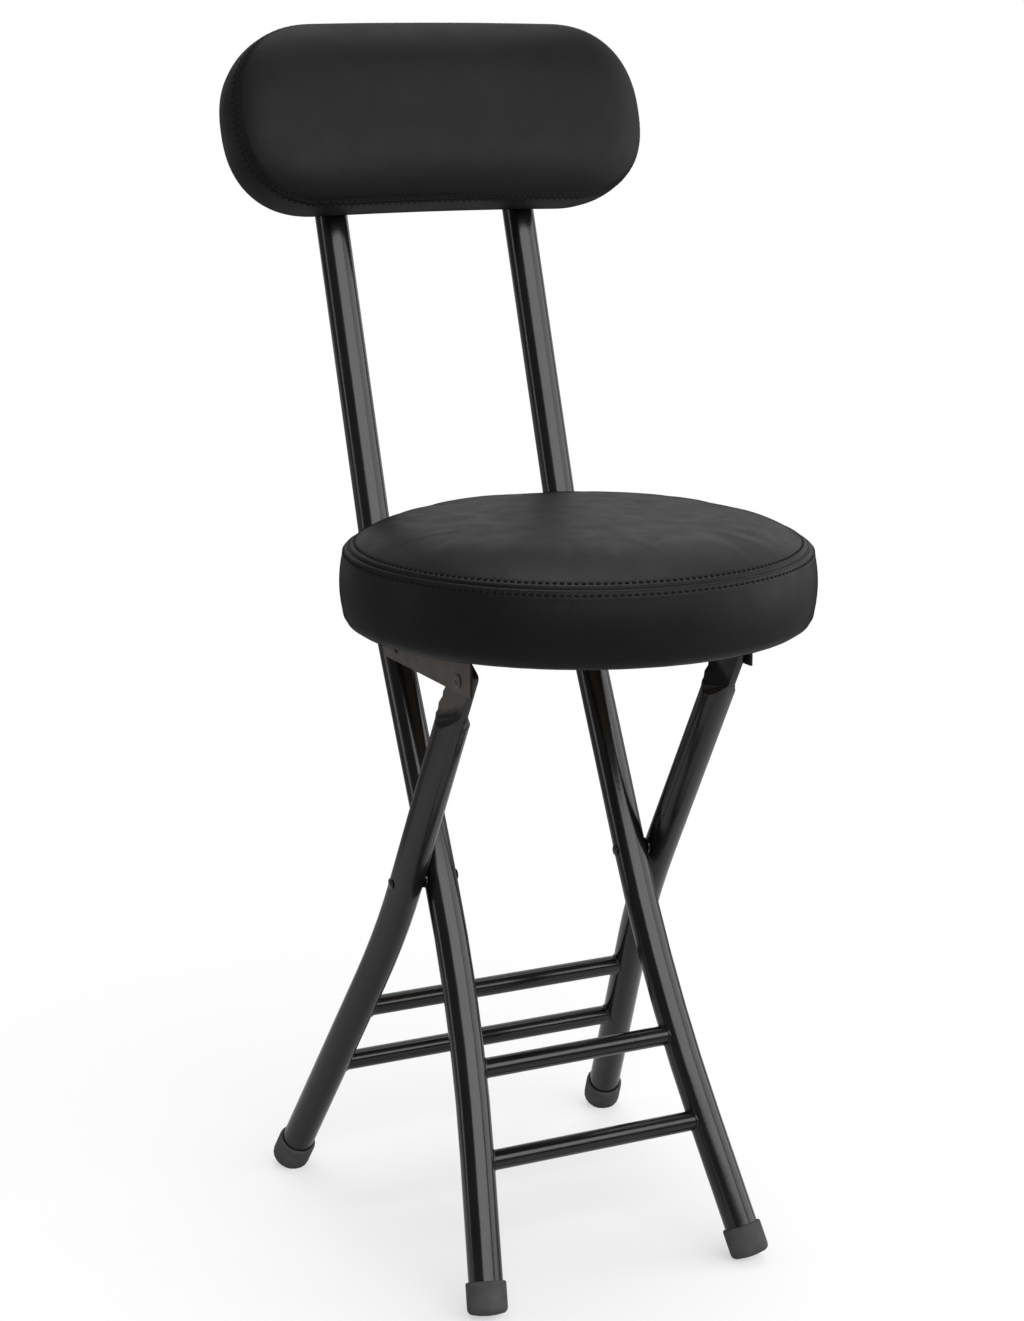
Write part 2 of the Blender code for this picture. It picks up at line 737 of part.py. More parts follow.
def notch_outline():
    """The notch in Y and Z: round about the rest pin and open downwards and forwards."""
    hook = hook_point()
    radius = REST_PIN_RADIUS + HOOK_NOTCH_CLEARANCE
    down = Vector((-math.sin(HOOK_NOTCH_ANGLE), -math.cos(HOOK_NOTCH_ANGLE)))
    across = Vector((-down.y, down.x))
    start = math.atan2(across.y, across.x)
    points = arc((hook.y, hook.z), radius, start, start + math.pi, 8)
    mouth = Vector((hook.y, hook.z)) + down * 3 * HOOK_RADIUS
    flare = radius * 1.5
    return points + [tuple(mouth - across * flare), tuple(mouth + across * flare)]


def build_hook_strap(name, side, drills):
    heights = (LEG_PIVOT_HEIGHT, hook_point().z)
    low = min(heights) - HOOK_RADIUS - CUTTER_OVERRUN
    high = max(heights) + HOOK_RADIUS + CUTTER_OVERRUN
    blank = prism_mesh(strap_plan(side), "Z", low, high)
    strap = add_object(f"hook_strap_{name}", blank, "seat", bracket_steel())
    reach = (side * LONG_TUBE_X, side * (PLATE_OUTER_X + CUTTER_OVERRUN))
    outline = add_cutter(f"strap_outline_{name}", prism_mesh(strap_side_outline(), "X", *reach), "seat")
    notch = add_cutter(f"strap_notch_{name}", prism_mesh(notch_outline(), "X", *reach), "seat")
    cut(strap, outline, "INTERSECT")
    cut(strap, notch)
    for drill in drills:
        cut(strap, drill)


def build_plate_rivets(name, side):
    """The seat pivot through the flat leg end, and the rivet that holds the hook strap."""
    pivot = Vector((0, LEG_PIVOT_Y, LEG_PIVOT_HEIGHT))
    low = LEG_X - FLAT_THICKNESS / 2 - FIT_GAP
    high = PLATE_OUTER_X + FIT_GAP
    profile = rivet_profile(PIVOT_RIVET_RADIUS, PIVOT_HEAD_RADIUS, PIVOT_HEAD_HEIGHT, low, high,
                            PIVOT_DIMPLE_DEPTH)
    add_object(f"pivot_rivet_{name}", revolve_mesh(profile, SMALL_SIDES), "seat", bracket_steel(),
               pivot, along_x(side))
    place = Vector((0, STRAP_RIVET_Y, LEG_PIVOT_HEIGHT))
    low = STRAP_FRONT_X - STRAP_THICKNESS / 2 - FIT_GAP
    profile = rivet_profile(STRAP_RIVET_RADIUS, STRAP_RIVET_HEAD_RADIUS, STRAP_RIVET_HEAD_HEIGHT, low, high)
    add_object(f"strap_rivet_{name}", revolve_mesh(profile, SMALL_SIDES), "seat", plated_steel(),
               place, along_x(side))


def seat_ring(inset, height):
    """A ring of the round seat pad at one inset from its edge."""
    reach = SEAT_RADIUS - inset
    angles = [2 * math.pi * index / SEAT_STEPS for index in range(SEAT_STEPS)]
    return [Vector((reach * math.cos(angle), reach * math.sin(angle), height)) for angle in angles]


def backrest_ring(inset, height):
    """A ring of the long backrest pad: two full round ends joined by straights."""
    radius = BACKREST_HEIGHT / 2
    straight = BACKREST_WIDTH / 2 - radius
    reach = radius - inset
    power = 2 / BACKREST_END_FULLNESS
    ring = []
    for end in (1, -1):
        for step in range(BACKREST_ARC_STEPS + 1):
            angle = -math.pi / 2 + math.pi * step / BACKREST_ARC_STEPS
            x = straight + reach * max(math.cos(angle), 0) ** power
            y = reach * math.copysign(abs(math.sin(angle)) ** power, angle)
            ring.append(Vector((end * x, end * y, height)))
        for step in range(1, BACKREST_STRAIGHT_STEPS):
            x = straight * (1 - 2 * step / BACKREST_STRAIGHT_STEPS)
            ring.append(Vector((end * x, end * reach, height)))
    for point in ring:
        point.y += BACKREST_ARCH * (1 - (2 * point.x / BACKREST_WIDTH) ** 2)
    return ring


def skin_profile(sizes):
    """Skin line of a pad as (inset, height): bottom corner, drawn-in side, seam groove, crown."""
    draw = sizes["draw"]
    corner = sizes["corner"]
    seam = sizes["side"]
    points = []
    for turn in (-math.pi / 2, -math.pi / 3, -math.pi / 6):
        points.append((draw + corner * (1 - math.cos(turn)), corner * (1 + math.sin(turn))))
    top = seam - SEAM_WIDTH / 2
    for share in (0.0, 0.25, 0.5, 0.75, 1.0):
        points.append((draw * (2 * share - 1) ** 2, corner + (top - corner) * share))
    points.append((draw + SEAM_DEPTH, seam))
    crown_start = draw + SEAM_TO_CROWN
    for share in (0.0, 0.04, 0.10, 0.20, 0.38, 0.70):
        rise = sizes["crown"] * (1 - (1 - share) ** CROWN_FULLNESS)
        points.append((crown_start + (sizes["reach"] - crown_start) * share, seam + SEAM_WIDTH / 2 + rise))
    return points


def offset_profile(points, distance):
    """Moves a skin line inwards by a distance, along the mean normal at each point."""
    moved = []
    for index, (inset, height) in enumerate(points):
        before = points[max(index - 1, 0)]
        after = points[min(index + 1, len(points) - 1)]
        run = Vector((after[0] - before[0], after[1] - before[1])).normalized()
        moved.append((inset + run.y * distance, height - run.x * distance))
    return moved


def close_top(bm, ring, ring_function, reach, height):
    """Closes a pad's crown: a fan to the centre of a round pad, a ridge along a long one."""
    centre_line = ring_function(reach, height)
    if max(abs(point.x) for point in centre_line) < 0.001:
        centre = bm.verts.new((0, 0, height))
        for index in range(len(ring)):
            bm.faces.new((centre, ring[index], ring[(index + 1) % len(ring)]))
        return
    last = [bm.verts.new(point) for point in centre_line]
    join_rings(bm, ring, last)


def pad_shell_mesh(ring_function, profile, reach, crown_height, hem_width):
    """The cover: an outer and an inner skin joined at the open hem under the board."""
    bm = bmesh.new()
    outer = [(profile[0][0] + hem_width, profile[0][1])] + profile
    inner = offset_profile(outer, COVER_THICKNESS)
    inner[0] = (outer[0][0], outer[0][1] + COVER_THICKNESS)
    for line, height in ((outer, crown_height), (inner, crown_height - COVER_THICKNESS)):
        rings = [[bm.verts.new(point) for point in ring_function(*step)] for step in line]
        join_all(bm, rings)
        close_top(bm, rings[-1], ring_function, reach, height)
        if line is outer:
            hem = rings[0]
    join_rings(bm, hem, rings[0])
    return bm


def pad_core_mesh(ring_function, profile, reach, crown_height, base_height):
    """The foam: the space under the cover above the board."""
    bm = bmesh.new()
    skin = offset_profile(profile, COVER_THICKNESS + FIT_GAP)
    line = []
    for below, above in zip(skin, skin[1:]):
        if below[1] <= base_height < above[1]:
            share = (base_height - below[1]) / (above[1] - below[1])
            line.append((below[0] + (above[0] - below[0]) * share, base_height))
        if above[1] > base_height:
            line.append(above)
    rings = [[bm.verts.new(point) for point in ring_function(*step)] for step in line]
    join_all(bm, rings)
    bm.faces.new(rings[0])
    close_top(bm, rings[-1], ring_function, reach, crown_height - COVER_THICKNESS - FIT_GAP)
    return bm


def board_mesh(ring_function, inset, low, thickness):
    bm = bmesh.new()
    line = [(inset + BOARD_BEVEL, low), (inset, low + BOARD_BEVEL)]
    line += [(inset, low + thickness - BOARD_BEVEL), (inset + BOARD_BEVEL, low + thickness)]
    rings = [[bm.verts.new(point) for point in ring_function(*step)] for step in line]
    join_all(bm, rings)
    bm.faces.new(rings[0])
    bm.faces.new(rings[-1])
    return bm


def build_pad(name, body, ring_function, sizes, place, turn, drills):
    """Cover, foam and board of one pad, made with their backs at height 0."""
    reach = sizes["reach"]
    profile = skin_profile(sizes)
    crown_height = sizes["side"] + SEAM_WIDTH / 2 + sizes["crown"]
    shell = pad_shell_mesh(ring_function, profile, reach, crown_height, sizes["hem"])
    cover = add_object(f"{name}_cover", shell, body, cover_leather(), place, turn, math.radians(60))
    board_low = COVER_THICKNESS + FIT_GAP
    board_inset = sizes["draw"] + sizes["corner"] + FIT_GAP
    board = add_object(f"{name}_board", board_mesh(ring_function, board_inset, board_low, sizes["board"]),
                       body, plywood(), place, turn)
    for drill in drills:
        cut(board, drill)
        cut(cover, drill)
    core = pad_core_mesh(ring_function, profile, reach, crown_height,
                         board_low + sizes["board"] + FIT_GAP)
    add_object(f"{name}_foam", core, body, foam(), place, turn, math.radians(60))


def backrest_place():
    """Centre of the backrest's back face, which lies against the fronts of the long tubes."""
    bend = Vector((0, SEAT_BEND_Y, SEAT_BEND_HEIGHT))
    return bend + upright_direction() * BACKREST_CENTRE_ALONG + backrest_normal() * (TUBE_RADIUS + FIT_GAP)


def backrest_turn():
    """Lays the pad's own X along X, its Y up the uprights and its Z out of the padded face."""
    return Matrix.Rotation(math.pi / 2 - UPRIGHT_LEAN, 3, "X")


def screw_mesh(radius, head_radius, head_height, grip):
    """A pan head screw: its shank points along +Z from the head's seat at 0."""
    profile = [(0, -head_height), (head_radius * 0.7, -head_height)]
    profile += [(head_radius, -head_height * 0.5), (head_radius, 0), (radius, 0)]
    profile += [(radius, grip - radius), (0, grip)]
    return revolve_mesh(profile, SMALL_SIDES)


def build_backrest_screws():
    """Screws through the long tubes into the backrest board, and each side's drills."""
    drills = {"left": [], "right": []}
    turn = backrest_turn()
    seat_depth = 2 * TUBE_RADIUS + 2 * FIT_GAP
    skin = COVER_THICKNESS + FIT_GAP
    for name, side in SIDES.items():
        for level, offset in (("upper", BACK_SCREW_OFFSET), ("lower", -BACK_SCREW_OFFSET)):
            on_tube = Vector((side * LONG_TUBE_X, 0, 0)) + backrest_place() + upright_direction() * offset
            place = on_tube - backrest_normal() * seat_depth
            length = seat_depth + skin + BACK_SCREW_GRIP
            bm = screw_mesh(BACK_SCREW_RADIUS, BACK_SCREW_HEAD_RADIUS, BACK_SCREW_HEAD_HEIGHT, length)
            add_object(f"backrest_screw_{level}_{name}", bm, "back_frame", plated_steel(), place, turn)
            drill = hole_cutter(f"drill_back_{level}_{name}", BACK_SCREW_RADIUS + PIN_CLEARANCE,
                                -FIT_GAP, length + PIN_CLEARANCE, "back_frame", place, turn)
            drills[name].append(drill)
    return drills


def build_flange_screws(name, side):
    """Screws up through a side plate's flange into the seat board, and their drills."""
    drills = []
    x = side * (PLATE_OUTER_X - FLANGE_WIDTH * 0.55)
    head_seat = FLANGE_TOP - PLATE_THICKNESS - FIT_GAP
    skin = COVER_THICKNESS + FIT_GAP
    length = PLATE_THICKNESS + 2 * FIT_GAP + skin + FLANGE_SCREW_GRIP
    for number, y in enumerate(FLANGE_SCREW_YS, start=1):
        place = Vector((x, y, head_seat))
        bm = screw_mesh(FLANGE_SCREW_RADIUS, FLANGE_SCREW_HEAD_RADIUS, FLANGE_SCREW_HEAD_HEIGHT, length)
        add_object(f"bracket_screw_{number}_{name}", bm, "seat", plated_steel(), place)
        drills.append(hole_cutter(f"drill_flange_{number}_{name}", FLANGE_SCREW_RADIUS + PIN_CLEARANCE,
                                  -FIT_GAP, length + PIN_CLEARANCE, "seat", place, Matrix.Identity(3)))
    return drills


def side_drill(name, body, radius, place, side):
    """A drill along X through everything between a long tube's inner side and past the side plate."""
    low = LONG_TUBE_X - TUBE_RADIUS - CUTTER_OVERRUN
    high = PLATE_OUTER_X + CUTTER_OVERRUN
    centre = Vector((0, place[0], place[1]))
    return hole_cutter(name, radius + PIN_CLEARANCE, low, high, body, centre, along_x(side))


def build_side(name, side, back_drills):
    """Everything on one side of the frame and of the seat's ironwork, with its drilled holes."""
    crossing = crossing_point().yz
    pin = rest_pin_point().yz
    pivot = (LEG_PIVOT_Y, LEG_PIVOT_HEIGHT)
    strap = (STRAP_RIVET_Y, LEG_PIVOT_HEIGHT)
    crossing_drill = side_drill(f"drill_crossing_{name}", "back_frame", CROSSING_RIVET_RADIUS, crossing, side)
    pin_drill = side_drill(f"drill_rest_pin_{name}", "back_frame", REST_PIN_RADIUS, pin, side)
    pivot_drill = side_drill(f"drill_pivot_{name}", "seat", PIVOT_RIVET_RADIUS, pivot, side)
    strap_drill = side_drill(f"drill_strap_{name}", "seat", STRAP_RIVET_RADIUS, strap, side)
    build_long_tube(name, side, [crossing_drill, pin_drill] + back_drills)
    build_leg(name, side, [crossing_drill, pivot_drill])
    build_plug(name, side)
    build_crossing(name, side)
    build_rest_pin(name, side)
    flange_drills = build_flange_screws(name, side)
    build_side_plate(name, side, [pivot_drill, strap_drill] + flange_drills)
    build_hook_strap(name, side, [strap_drill])
    build_plate_rivets(name, side)
    return flange_drills


def centre_on_floor():
    """Moves the whole stool so that its bounding box is centred over the origin."""
    bpy.context.view_layer.update()
    graph = bpy.context.evaluated_depsgraph_get()
    ys = []
    for piece in Piece.meshes:
        shape = piece.evaluated_get(graph)
        mesh = shape.to_mesh()
        ys += [(shape.matrix_world @ vertex.co).y for vertex in mesh.vertices]
        shape.to_mesh_clear()
    Piece.bodies["back_frame"][0].location.y = -(min(ys) + max(ys)) / 2


def main():
    clear_scene()
    add_body("back_frame")
    add_body("leg_frame", "back_frame", crossing_point())
    add_body("seat", "leg_frame", (0, LEG_PIVOT_Y, LEG_PIVOT_HEIGHT), SEAT_LEAN)

    reach = FLOOR_CUTTER_REACH
    corners = [(-reach, -reach), (reach, -reach), (reach, reach), (-reach, reach)]
    floor = add_cutter("floor_cut", prism_mesh(corners, "Z", -CUTTER_OVERRUN, 0), "back_frame")
    back_drills = build_backrest_screws()
    flange_drills = []
    for name, side in SIDES.items():
        flange_drills += build_side(name, side, back_drills[name])
        front_foot, front_splay = long_tube_corners(side)[:2]
        rear_foot, rear_splay = leg_corners(side)[:2]
        build_foot_cap(f"front_foot_cap_{name}", "back_frame", front_foot, front_splay, floor)
        build_foot_cap(f"rear_foot_cap_{name}", "leg_frame", rear_foot, rear_splay, floor)
    for level, height in FRONT_RUNG_HEIGHTS.items():
        build_rung(f"front_rung_{level}", "back_frame", long_tube_path, height)
    for level, height in REAR_RUNG_HEIGHTS.items():
        build_rung(f"rear_rung_{level}", "leg_frame", leg_path, height)

    seat_sizes = {"side": SEAT_SIDE_HEIGHT, "corner": SEAT_CORNER_RADIUS, "draw": SEAT_SIDE_DRAW,
                  "crown": SEAT_CROWN, "hem": SEAT_HEM_WIDTH, "board": SEAT_BOARD_THICKNESS,
                  "reach": SEAT_RADIUS}
    build_pad("seat", "seat", seat_ring, seat_sizes, Vector((0, 0, SEAT_BOTTOM_HEIGHT)),
              Matrix.Identity(3), flange_drills)
    backrest_sizes = {"side": BACKREST_SIDE_HEIGHT, "corner": BACKREST_CORNER_RADIUS,
                      "draw": BACKREST_SIDE_DRAW, "crown": BACKREST_CROWN, "hem": BACKREST_HEM_WIDTH,
                      "board": BACKREST_BOARD_THICKNESS, "reach": BACKREST_HEIGHT / 2}
    build_pad("backrest", "back_frame", backrest_ring, backrest_sizes, backrest_place(), backrest_turn(),
              back_drills["left"] + back_drills["right"])
    centre_on_floor()


main()
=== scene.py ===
"""A black folding stool with a round padded seat and a padded backrest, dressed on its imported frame."""

import bpy
import bmesh
import math
import numpy as np
from mathutils import Matrix, Vector, noise
from mathutils.bvhtree import BVHTree


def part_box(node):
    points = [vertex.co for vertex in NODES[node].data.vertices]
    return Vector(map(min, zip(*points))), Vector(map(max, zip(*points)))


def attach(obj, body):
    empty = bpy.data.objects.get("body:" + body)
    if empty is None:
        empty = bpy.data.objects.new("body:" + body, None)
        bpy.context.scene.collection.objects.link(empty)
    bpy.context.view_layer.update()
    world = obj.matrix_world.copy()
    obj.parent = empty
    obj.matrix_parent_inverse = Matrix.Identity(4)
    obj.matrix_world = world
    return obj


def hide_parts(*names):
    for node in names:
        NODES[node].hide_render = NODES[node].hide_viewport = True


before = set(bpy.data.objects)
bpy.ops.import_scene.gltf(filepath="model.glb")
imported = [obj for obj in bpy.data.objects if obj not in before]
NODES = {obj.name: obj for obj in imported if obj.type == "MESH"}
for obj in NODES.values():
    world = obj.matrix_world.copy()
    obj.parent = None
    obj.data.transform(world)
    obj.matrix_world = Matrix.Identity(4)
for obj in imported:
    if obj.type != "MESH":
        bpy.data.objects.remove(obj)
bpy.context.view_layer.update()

# Placing of the pads; all lengths are in metres
FRAME_SHIFT_Y = -0.065197
SEAT_LEAN = math.radians(1.28)
SEAT_PIVOT = Vector((0, -0.0323, 0.4039))
SEAT_BOTTOM_HEIGHT = 0.4266
BACK_LEAN = math.radians(19.8)
BACK_BEND = Vector((0, 0.1526, 0.4314))
BACK_ALONG = 0.2990
BACK_OFF_TUBES = 0.0113

# Leather: thickness, clearance to the board, slack as (lift, size of the waves, seed), and the share
# of the slack that is left at the seam
COVER = 0.0011
GAP = 0.0003
SLACK = ((0.00024, 0.055, 3.1), (0.00007, 0.019, 7.7))
SEAM_SLACK = 0.15

# Gathers in the hem: the height below which the skin is hem, then the gathers' depth, number around
# and drift, as (turn, waves around)
HEM_BELOW = 0.002
GATHER_DEPTH = 0.0005
GATHERS = 37
GATHER_DRIFT = ((2.2, 5), (1.3, 11))

# Length over which slack and gathers fade in
FADE = 0.012

# Seam: its groove and the lips on both sides of it
GROOVE_DEPTH = 0.0013
GROOVE_WIDTH = 0.0007
LIP_HEIGHT = 0.00025
LIP_PLACE = 0.0022
LIP_WIDTH = 0.0011

# Stitches: pitch, how deep the leather sinks under them and rises between them, how much of the sink
# each step of a stitch takes, and where the thread passes, in steps from the stitch's first point
PITCH = 0.0045
STEPS_PER_STITCH = 4
STITCH_SINK = 0.00055
STITCH_PUCKER = 0.00012
STITCH_WIDTH = 0.0010
STITCH_SHARES = (0.2, 1.0, 1.0, 0.2)
STITCH_PATH = (0.25, 0.6, 1.5, 2.4, 2.75)

# Thread, in its own radii: how far it lies above the leather, and how deep its ends dive; then the
# size of the ends of thread and wire beside their full radius
THREAD_ABOVE = 0.5
THREAD_DIVE = 1.2
ROD_END = 0.35

# The skin's line: how far the shoulder turns, how much higher than the side the crown is counted
# from, the power that draws the crown's points to its rim, and the steps of all its parts
SHOULDER_TURN = math.pi / 2 * 0.72
SEAM_RISE = 0.0015
RIM_POWER = 1.6
HEM_STEPS, CORNER_STEPS, SIDE_STEPS, SHOULDER_STEPS, CROWN_STEPS = 40, 30, 60, 30, 240

# Insets of the ring that gives each column's direction, and of the ring in the hollow's roof
DIRECTION_INSET = 0.02
ROOF_INSET = 0.02

# Rows of the pads' mesh: shortest and longest step, growth with the distance from seam and stitches,
# how far from the seam the shortest step is kept, by how much that is less at the stitches, and half
# the length over which the skin's slope is taken
ROW_SHORTEST = 0.00042
ROW_LONGEST = 0.0042
ROW_GROWTH = 0.22
SEAM_ZONE = 0.0012
STITCH_ZONE_LESS = 0.001
SLOPE_REACH = 0.0012

# Cloth run that swells the pads, on a remeshed skin held at its back. It is carried over to every
# third row, evened, faded in from the seam on and from the middle out, weaker on the sides, limited
REMESH_SIZE = 0.005
HELD_BELOW = 0.006
HELD_FADE = 0.016
SWELL_FRAMES = 20
SWELL_REACH = 0.002
SWELL_ROWS = 3
SWELL_EVENING = 12
SWELL_START = 0.004
SWELL_FADE = 0.030
SWELL_ON_SIDES = 0.25
SWELL_LIMIT = 0.0004
CLOTH = {
    "quality": 5, "mass": 0.3, "tension_stiffness": 25, "compression_stiffness": 25,
    "bending_stiffness": 1.5, "use_pressure": True, "uniform_pressure_force": 4,
}

# Staples: where they sit across the hem, how far their tips, bends and flat run reach from the
# middle, how far the tips go in, how far the flat run stands off the hem, wire radius, greatest
# slant, and how fast the slant changes from one staple to the next
STAPLE_PLACE = 0.62
STAPLE_REACH = (0.0052, 0.0050, 0.0044)
STAPLE_RISE = 0.0012
STAPLE_OFF_HEM = 0.0001
STAPLE_WIRE_RADIUS = 0.00045
STAPLE_SLANT = 0.18
STAPLE_SLANT_STEP = 2.4

# Weld beads: radius, how strongly it ripples, its slower unevenness as (share, size of the waves,
# seed), where the rays start beside the middle plane, points around the rung, sides of the bead
WELD_RADIUS = 0.00085
WELD_RIPPLE = 0.12
WELD_UNEVEN = (0.10, 0.004, 1.7)
WELD_RAYS_FROM = 0.03
WELD_STEPS = 48
WELD_SIDES = 10

# Facets that meet at less than this angle are shaded as one round surface; points closer together
# than the merge distance become one
CREASE_ANGLE = math.radians(34)
MERGE_DISTANCE = 0.00001

# Height above which the pressed ends of the legs carry a painted sheen (a brown-grey reflection put into
# the colour), where their middle is, how much lower the sheen reaches for each metre to the rear, and how
# wide and ragged its edge is; then the black of the inner faces and edges of plates and straps
PRESSED_SHEEN_HEIGHT = 0.3830
PRESSED_SHEEN_MIDDLE_Y = -0.087
PRESSED_SHEEN_TILT = 0.4
PRESSED_SHEEN_EDGE = 0.006
PRESSED_SHEEN_COLOUR = (0.088, 0.074, 0.064, 1)
PRESSED_SHEEN_ROUGHNESS = 0.42
INNER_BLACK = (0.0055, 0.0052, 0.0050, 1)

# Camera, fitted to the photograph
PHOTO_HEIGHT = 1321
FOCAL_PIXELS = 2671.675
SENSOR = 36
CAMERA_SHIFT = (0.0002, -0.05425)
CAMERA_PLACE = Vector((-0.755571, -1.520419, 0.817466))
CAMERA_RIGHT = Vector((0.899758, -0.436326, 0.007392))
CAMERA_FORWARD = Vector((0.42696, 0.87670, -0.221553))

# Lamps: name, place, what they point at, width and height, and watts; then the floor's radius and
# how far it lies below the caps, and the way to the middle of the white wall seen in reflections
LAMPS = (
    ("overhead", (0.2, 0.3, 2.6), (0, 0, 0.4), (1.6, 1.6), 24),
    ("front", (-0.05, -2.25, 1.75), (0, 0, 0.5), (3.6, 1.6), 58),
    ("right", (2.15, -0.9, 1.0), (0, 0, 0.45), (2.2, 1.9), 28),
    ("left", (-2.2, 0.8, 0.9), (0, 0, 0.45), (0.35, 2.0), 4),
)
FLOOR_RADIUS = 6.0
FLOOR_DROP = 0.0003
WALL_WAY = Vector((0.66, 0.70, 0.27))

# Pads. reach: from the middle line to the edge, side: height of the side with its shoulder, corner:
# radius at the hem, draw: how far the side pulls in at both its edges, end_power: power of the
# superelliptic ends, crown: rise of the top, fullness: how fast it rises from its rim, arch: bow of
# the upper and lower edge, hollow_arch: the same for the board's hollow, hem: width turned under,
# board: thickness, stitches: number around, seam_back: from the shoulder's end back to the seam,
# row: from the seam to each row of stitches, thread: radius, iron: where the side plates or tubes
# lie against the hem, as x from and to on each side, and y from and to
SEAT = {
    "name": "seat", "body": "seat", "width": 0.300, "height": 0.300, "reach": 0.150,
    "side": 0.0495, "corner": 0.0090, "draw": 0.0018, "shoulder": 0.0070,
    "crown": 0.0155, "fullness": 5.8, "arch": 0.0, "hollow_arch": 0.0, "hem": 0.022, "board": 0.009,
    "stitches": 210, "seam_back": 0.0, "row": 0.0046, "thread": 0.00056, "staple_pitch": 0.030,
    "iron": (0.066, 0.106, -0.060, 0.092),
}
BACKREST = {
    "name": "backrest", "body": "back_frame", "width": 0.299, "height": 0.1247, "reach": 0.06235,
    "side": 0.0465, "corner": 0.0085, "draw": 0.0015, "shoulder": 0.0075, "end_power": 2.35,
    "crown": 0.007, "fullness": 3.8, "arch": 0.0028, "hollow_arch": 0.0018, "hem": 0.018, "board": 0.009,
    "seam_back": 0.009, "row": 0.0030, "thread": 0.00034, "staple_pitch": 0.026,
    "iron": (0.052, 0.089, -0.1, 0.1),
}


def turn_place(turn, place):
    return Matrix.Translation(place) @ turn.to_4x4()


def seat_place():
    """Where the seat pad's underside lies: leaning back about its pivots."""
    turn = Matrix.Rotation(-SEAT_LEAN, 4, "X")
    lean = Matrix.Translation(SEAT_PIVOT) @ turn @ Matrix.Translation(-SEAT_PIVOT)
    return Matrix.Translation((0, FRAME_SHIFT_Y, 0)) @ lean @ Matrix.Translation((0, 0, SEAT_BOTTOM_HEIGHT))


def backrest_place():
    """Where the backrest pad's back lies: in front of the long tubes' upper run."""
    along = Vector((0, math.sin(BACK_LEAN), math.cos(BACK_LEAN)))
    out = Vector((0, -math.cos(BACK_LEAN), math.sin(BACK_LEAN)))
    place = BACK_BEND + along * BACK_ALONG + out * BACK_OFF_TUBES + Vector((0, FRAME_SHIFT_Y, 0))
    return turn_place(Matrix.Rotation(math.pi / 2 - BACK_LEAN, 3, "X"), place)


# Materials
def new_material(name):
    """A material with a Principled shader, and its node tree's parts."""
    surface = bpy.data.materials.new(name)
    surface.use_nodes = True
    tree = surface.node_tree
    return surface, tree, tree.nodes["Principled BSDF"]


def add_node(tree, kind, **settings):
    node = tree.nodes.new(kind)
    for key, value in settings.items():
        setattr(node, key, value)
    return node


def feed(tree, value, socket):
    """Links a socket to another one, or sets it to a constant."""
    if isinstance(value, bpy.types.NodeSocket):
        tree.links.new(value, socket)
    else:
        socket.default_value = value


def reckon(tree, operation, *values):
    """The result of a Math node on sockets and constants."""
    node = add_node(tree, "ShaderNodeMath", operation=operation)
    for number, value in enumerate(values):
        feed(tree, value, node.inputs[number])
    return node.outputs[0]


def faded(tree, kind, share, first, second):
    """A colour (RGBA) or number (FLOAT) that goes from first to second with share."""
    node = add_node(tree, "ShaderNodeMix", data_type=kind)
    start, end, result = {"RGBA": (6, 7, 2), "FLOAT": (2, 3, 0)}[kind]
    tree.links.new(share, node.inputs[0])
    feed(tree, first, node.inputs[start])
    feed(tree, second, node.inputs[end])
    return node.outputs[result]


def separated(tree, source):
    """The X, Y and Z of a vector."""
    node = add_node(tree, "ShaderNodeSeparateXYZ")
    tree.links.new(source, node.inputs["Vector"])
    return node.outputs


def object_coordinates(tree):
    return add_node(tree, "ShaderNodeTexCoord").outputs["Object"]


def noise_texture(tree, scale, detail=3.0, roughness=0.5):
    node = add_node(tree, "ShaderNodeTexNoise")
    node.inputs["Scale"].default_value = scale
    node.inputs["Detail"].default_value = detail
    node.inputs["Roughness"].default_value = roughness
    tree.links.new(object_coordinates(tree), node.inputs["Vector"])
    return node.outputs["Fac"]


def cell_texture(tree, scale):
    node = add_node(tree, "ShaderNodeTexVoronoi", feature="SMOOTH_F1")
    node.inputs["Scale"].default_value = scale
    tree.links.new(object_coordinates(tree), node.inputs["Vector"])
    return node.outputs["Distance"]


def spread(tree, source, low, high, start=0.3, end=0.7):
    """Maps a texture's values from start..end to low..high."""
    node = add_node(tree, "ShaderNodeMapRange")
    tree.links.new(source, node.inputs["Value"])
    node.inputs["From Min"].default_value = start
    node.inputs["From Max"].default_value = end
    node.inputs["To Min"].default_value = low
    node.inputs["To Max"].default_value = high
    return node.outputs["Result"]


def colour_between(tree, source, dark, light, start=0.3, end=0.7):
    """Maps a texture's values from start..end to the colours dark..light."""
    ramp = add_node(tree, "ShaderNodeValToRGB")
    for element, position, colour in zip(ramp.color_ramp.elements, (start, end), (dark, light)):
        element.position = position
        element.color = (*colour, 1)
    tree.links.new(source, ramp.inputs["Fac"])
    return ramp.outputs["Color"]


def bump(tree, height, distance, strength, below=None):
    """A bump from a height, on top of another bump where one is given."""
    node = add_node(tree, "ShaderNodeBump")
    node.inputs["Strength"].default_value = strength
    node.inputs["Distance"].default_value = distance
    tree.links.new(height, node.inputs["Height"])
    if below is not None:
        tree.links.new(below, node.inputs["Normal"])
    return node.outputs["Normal"]


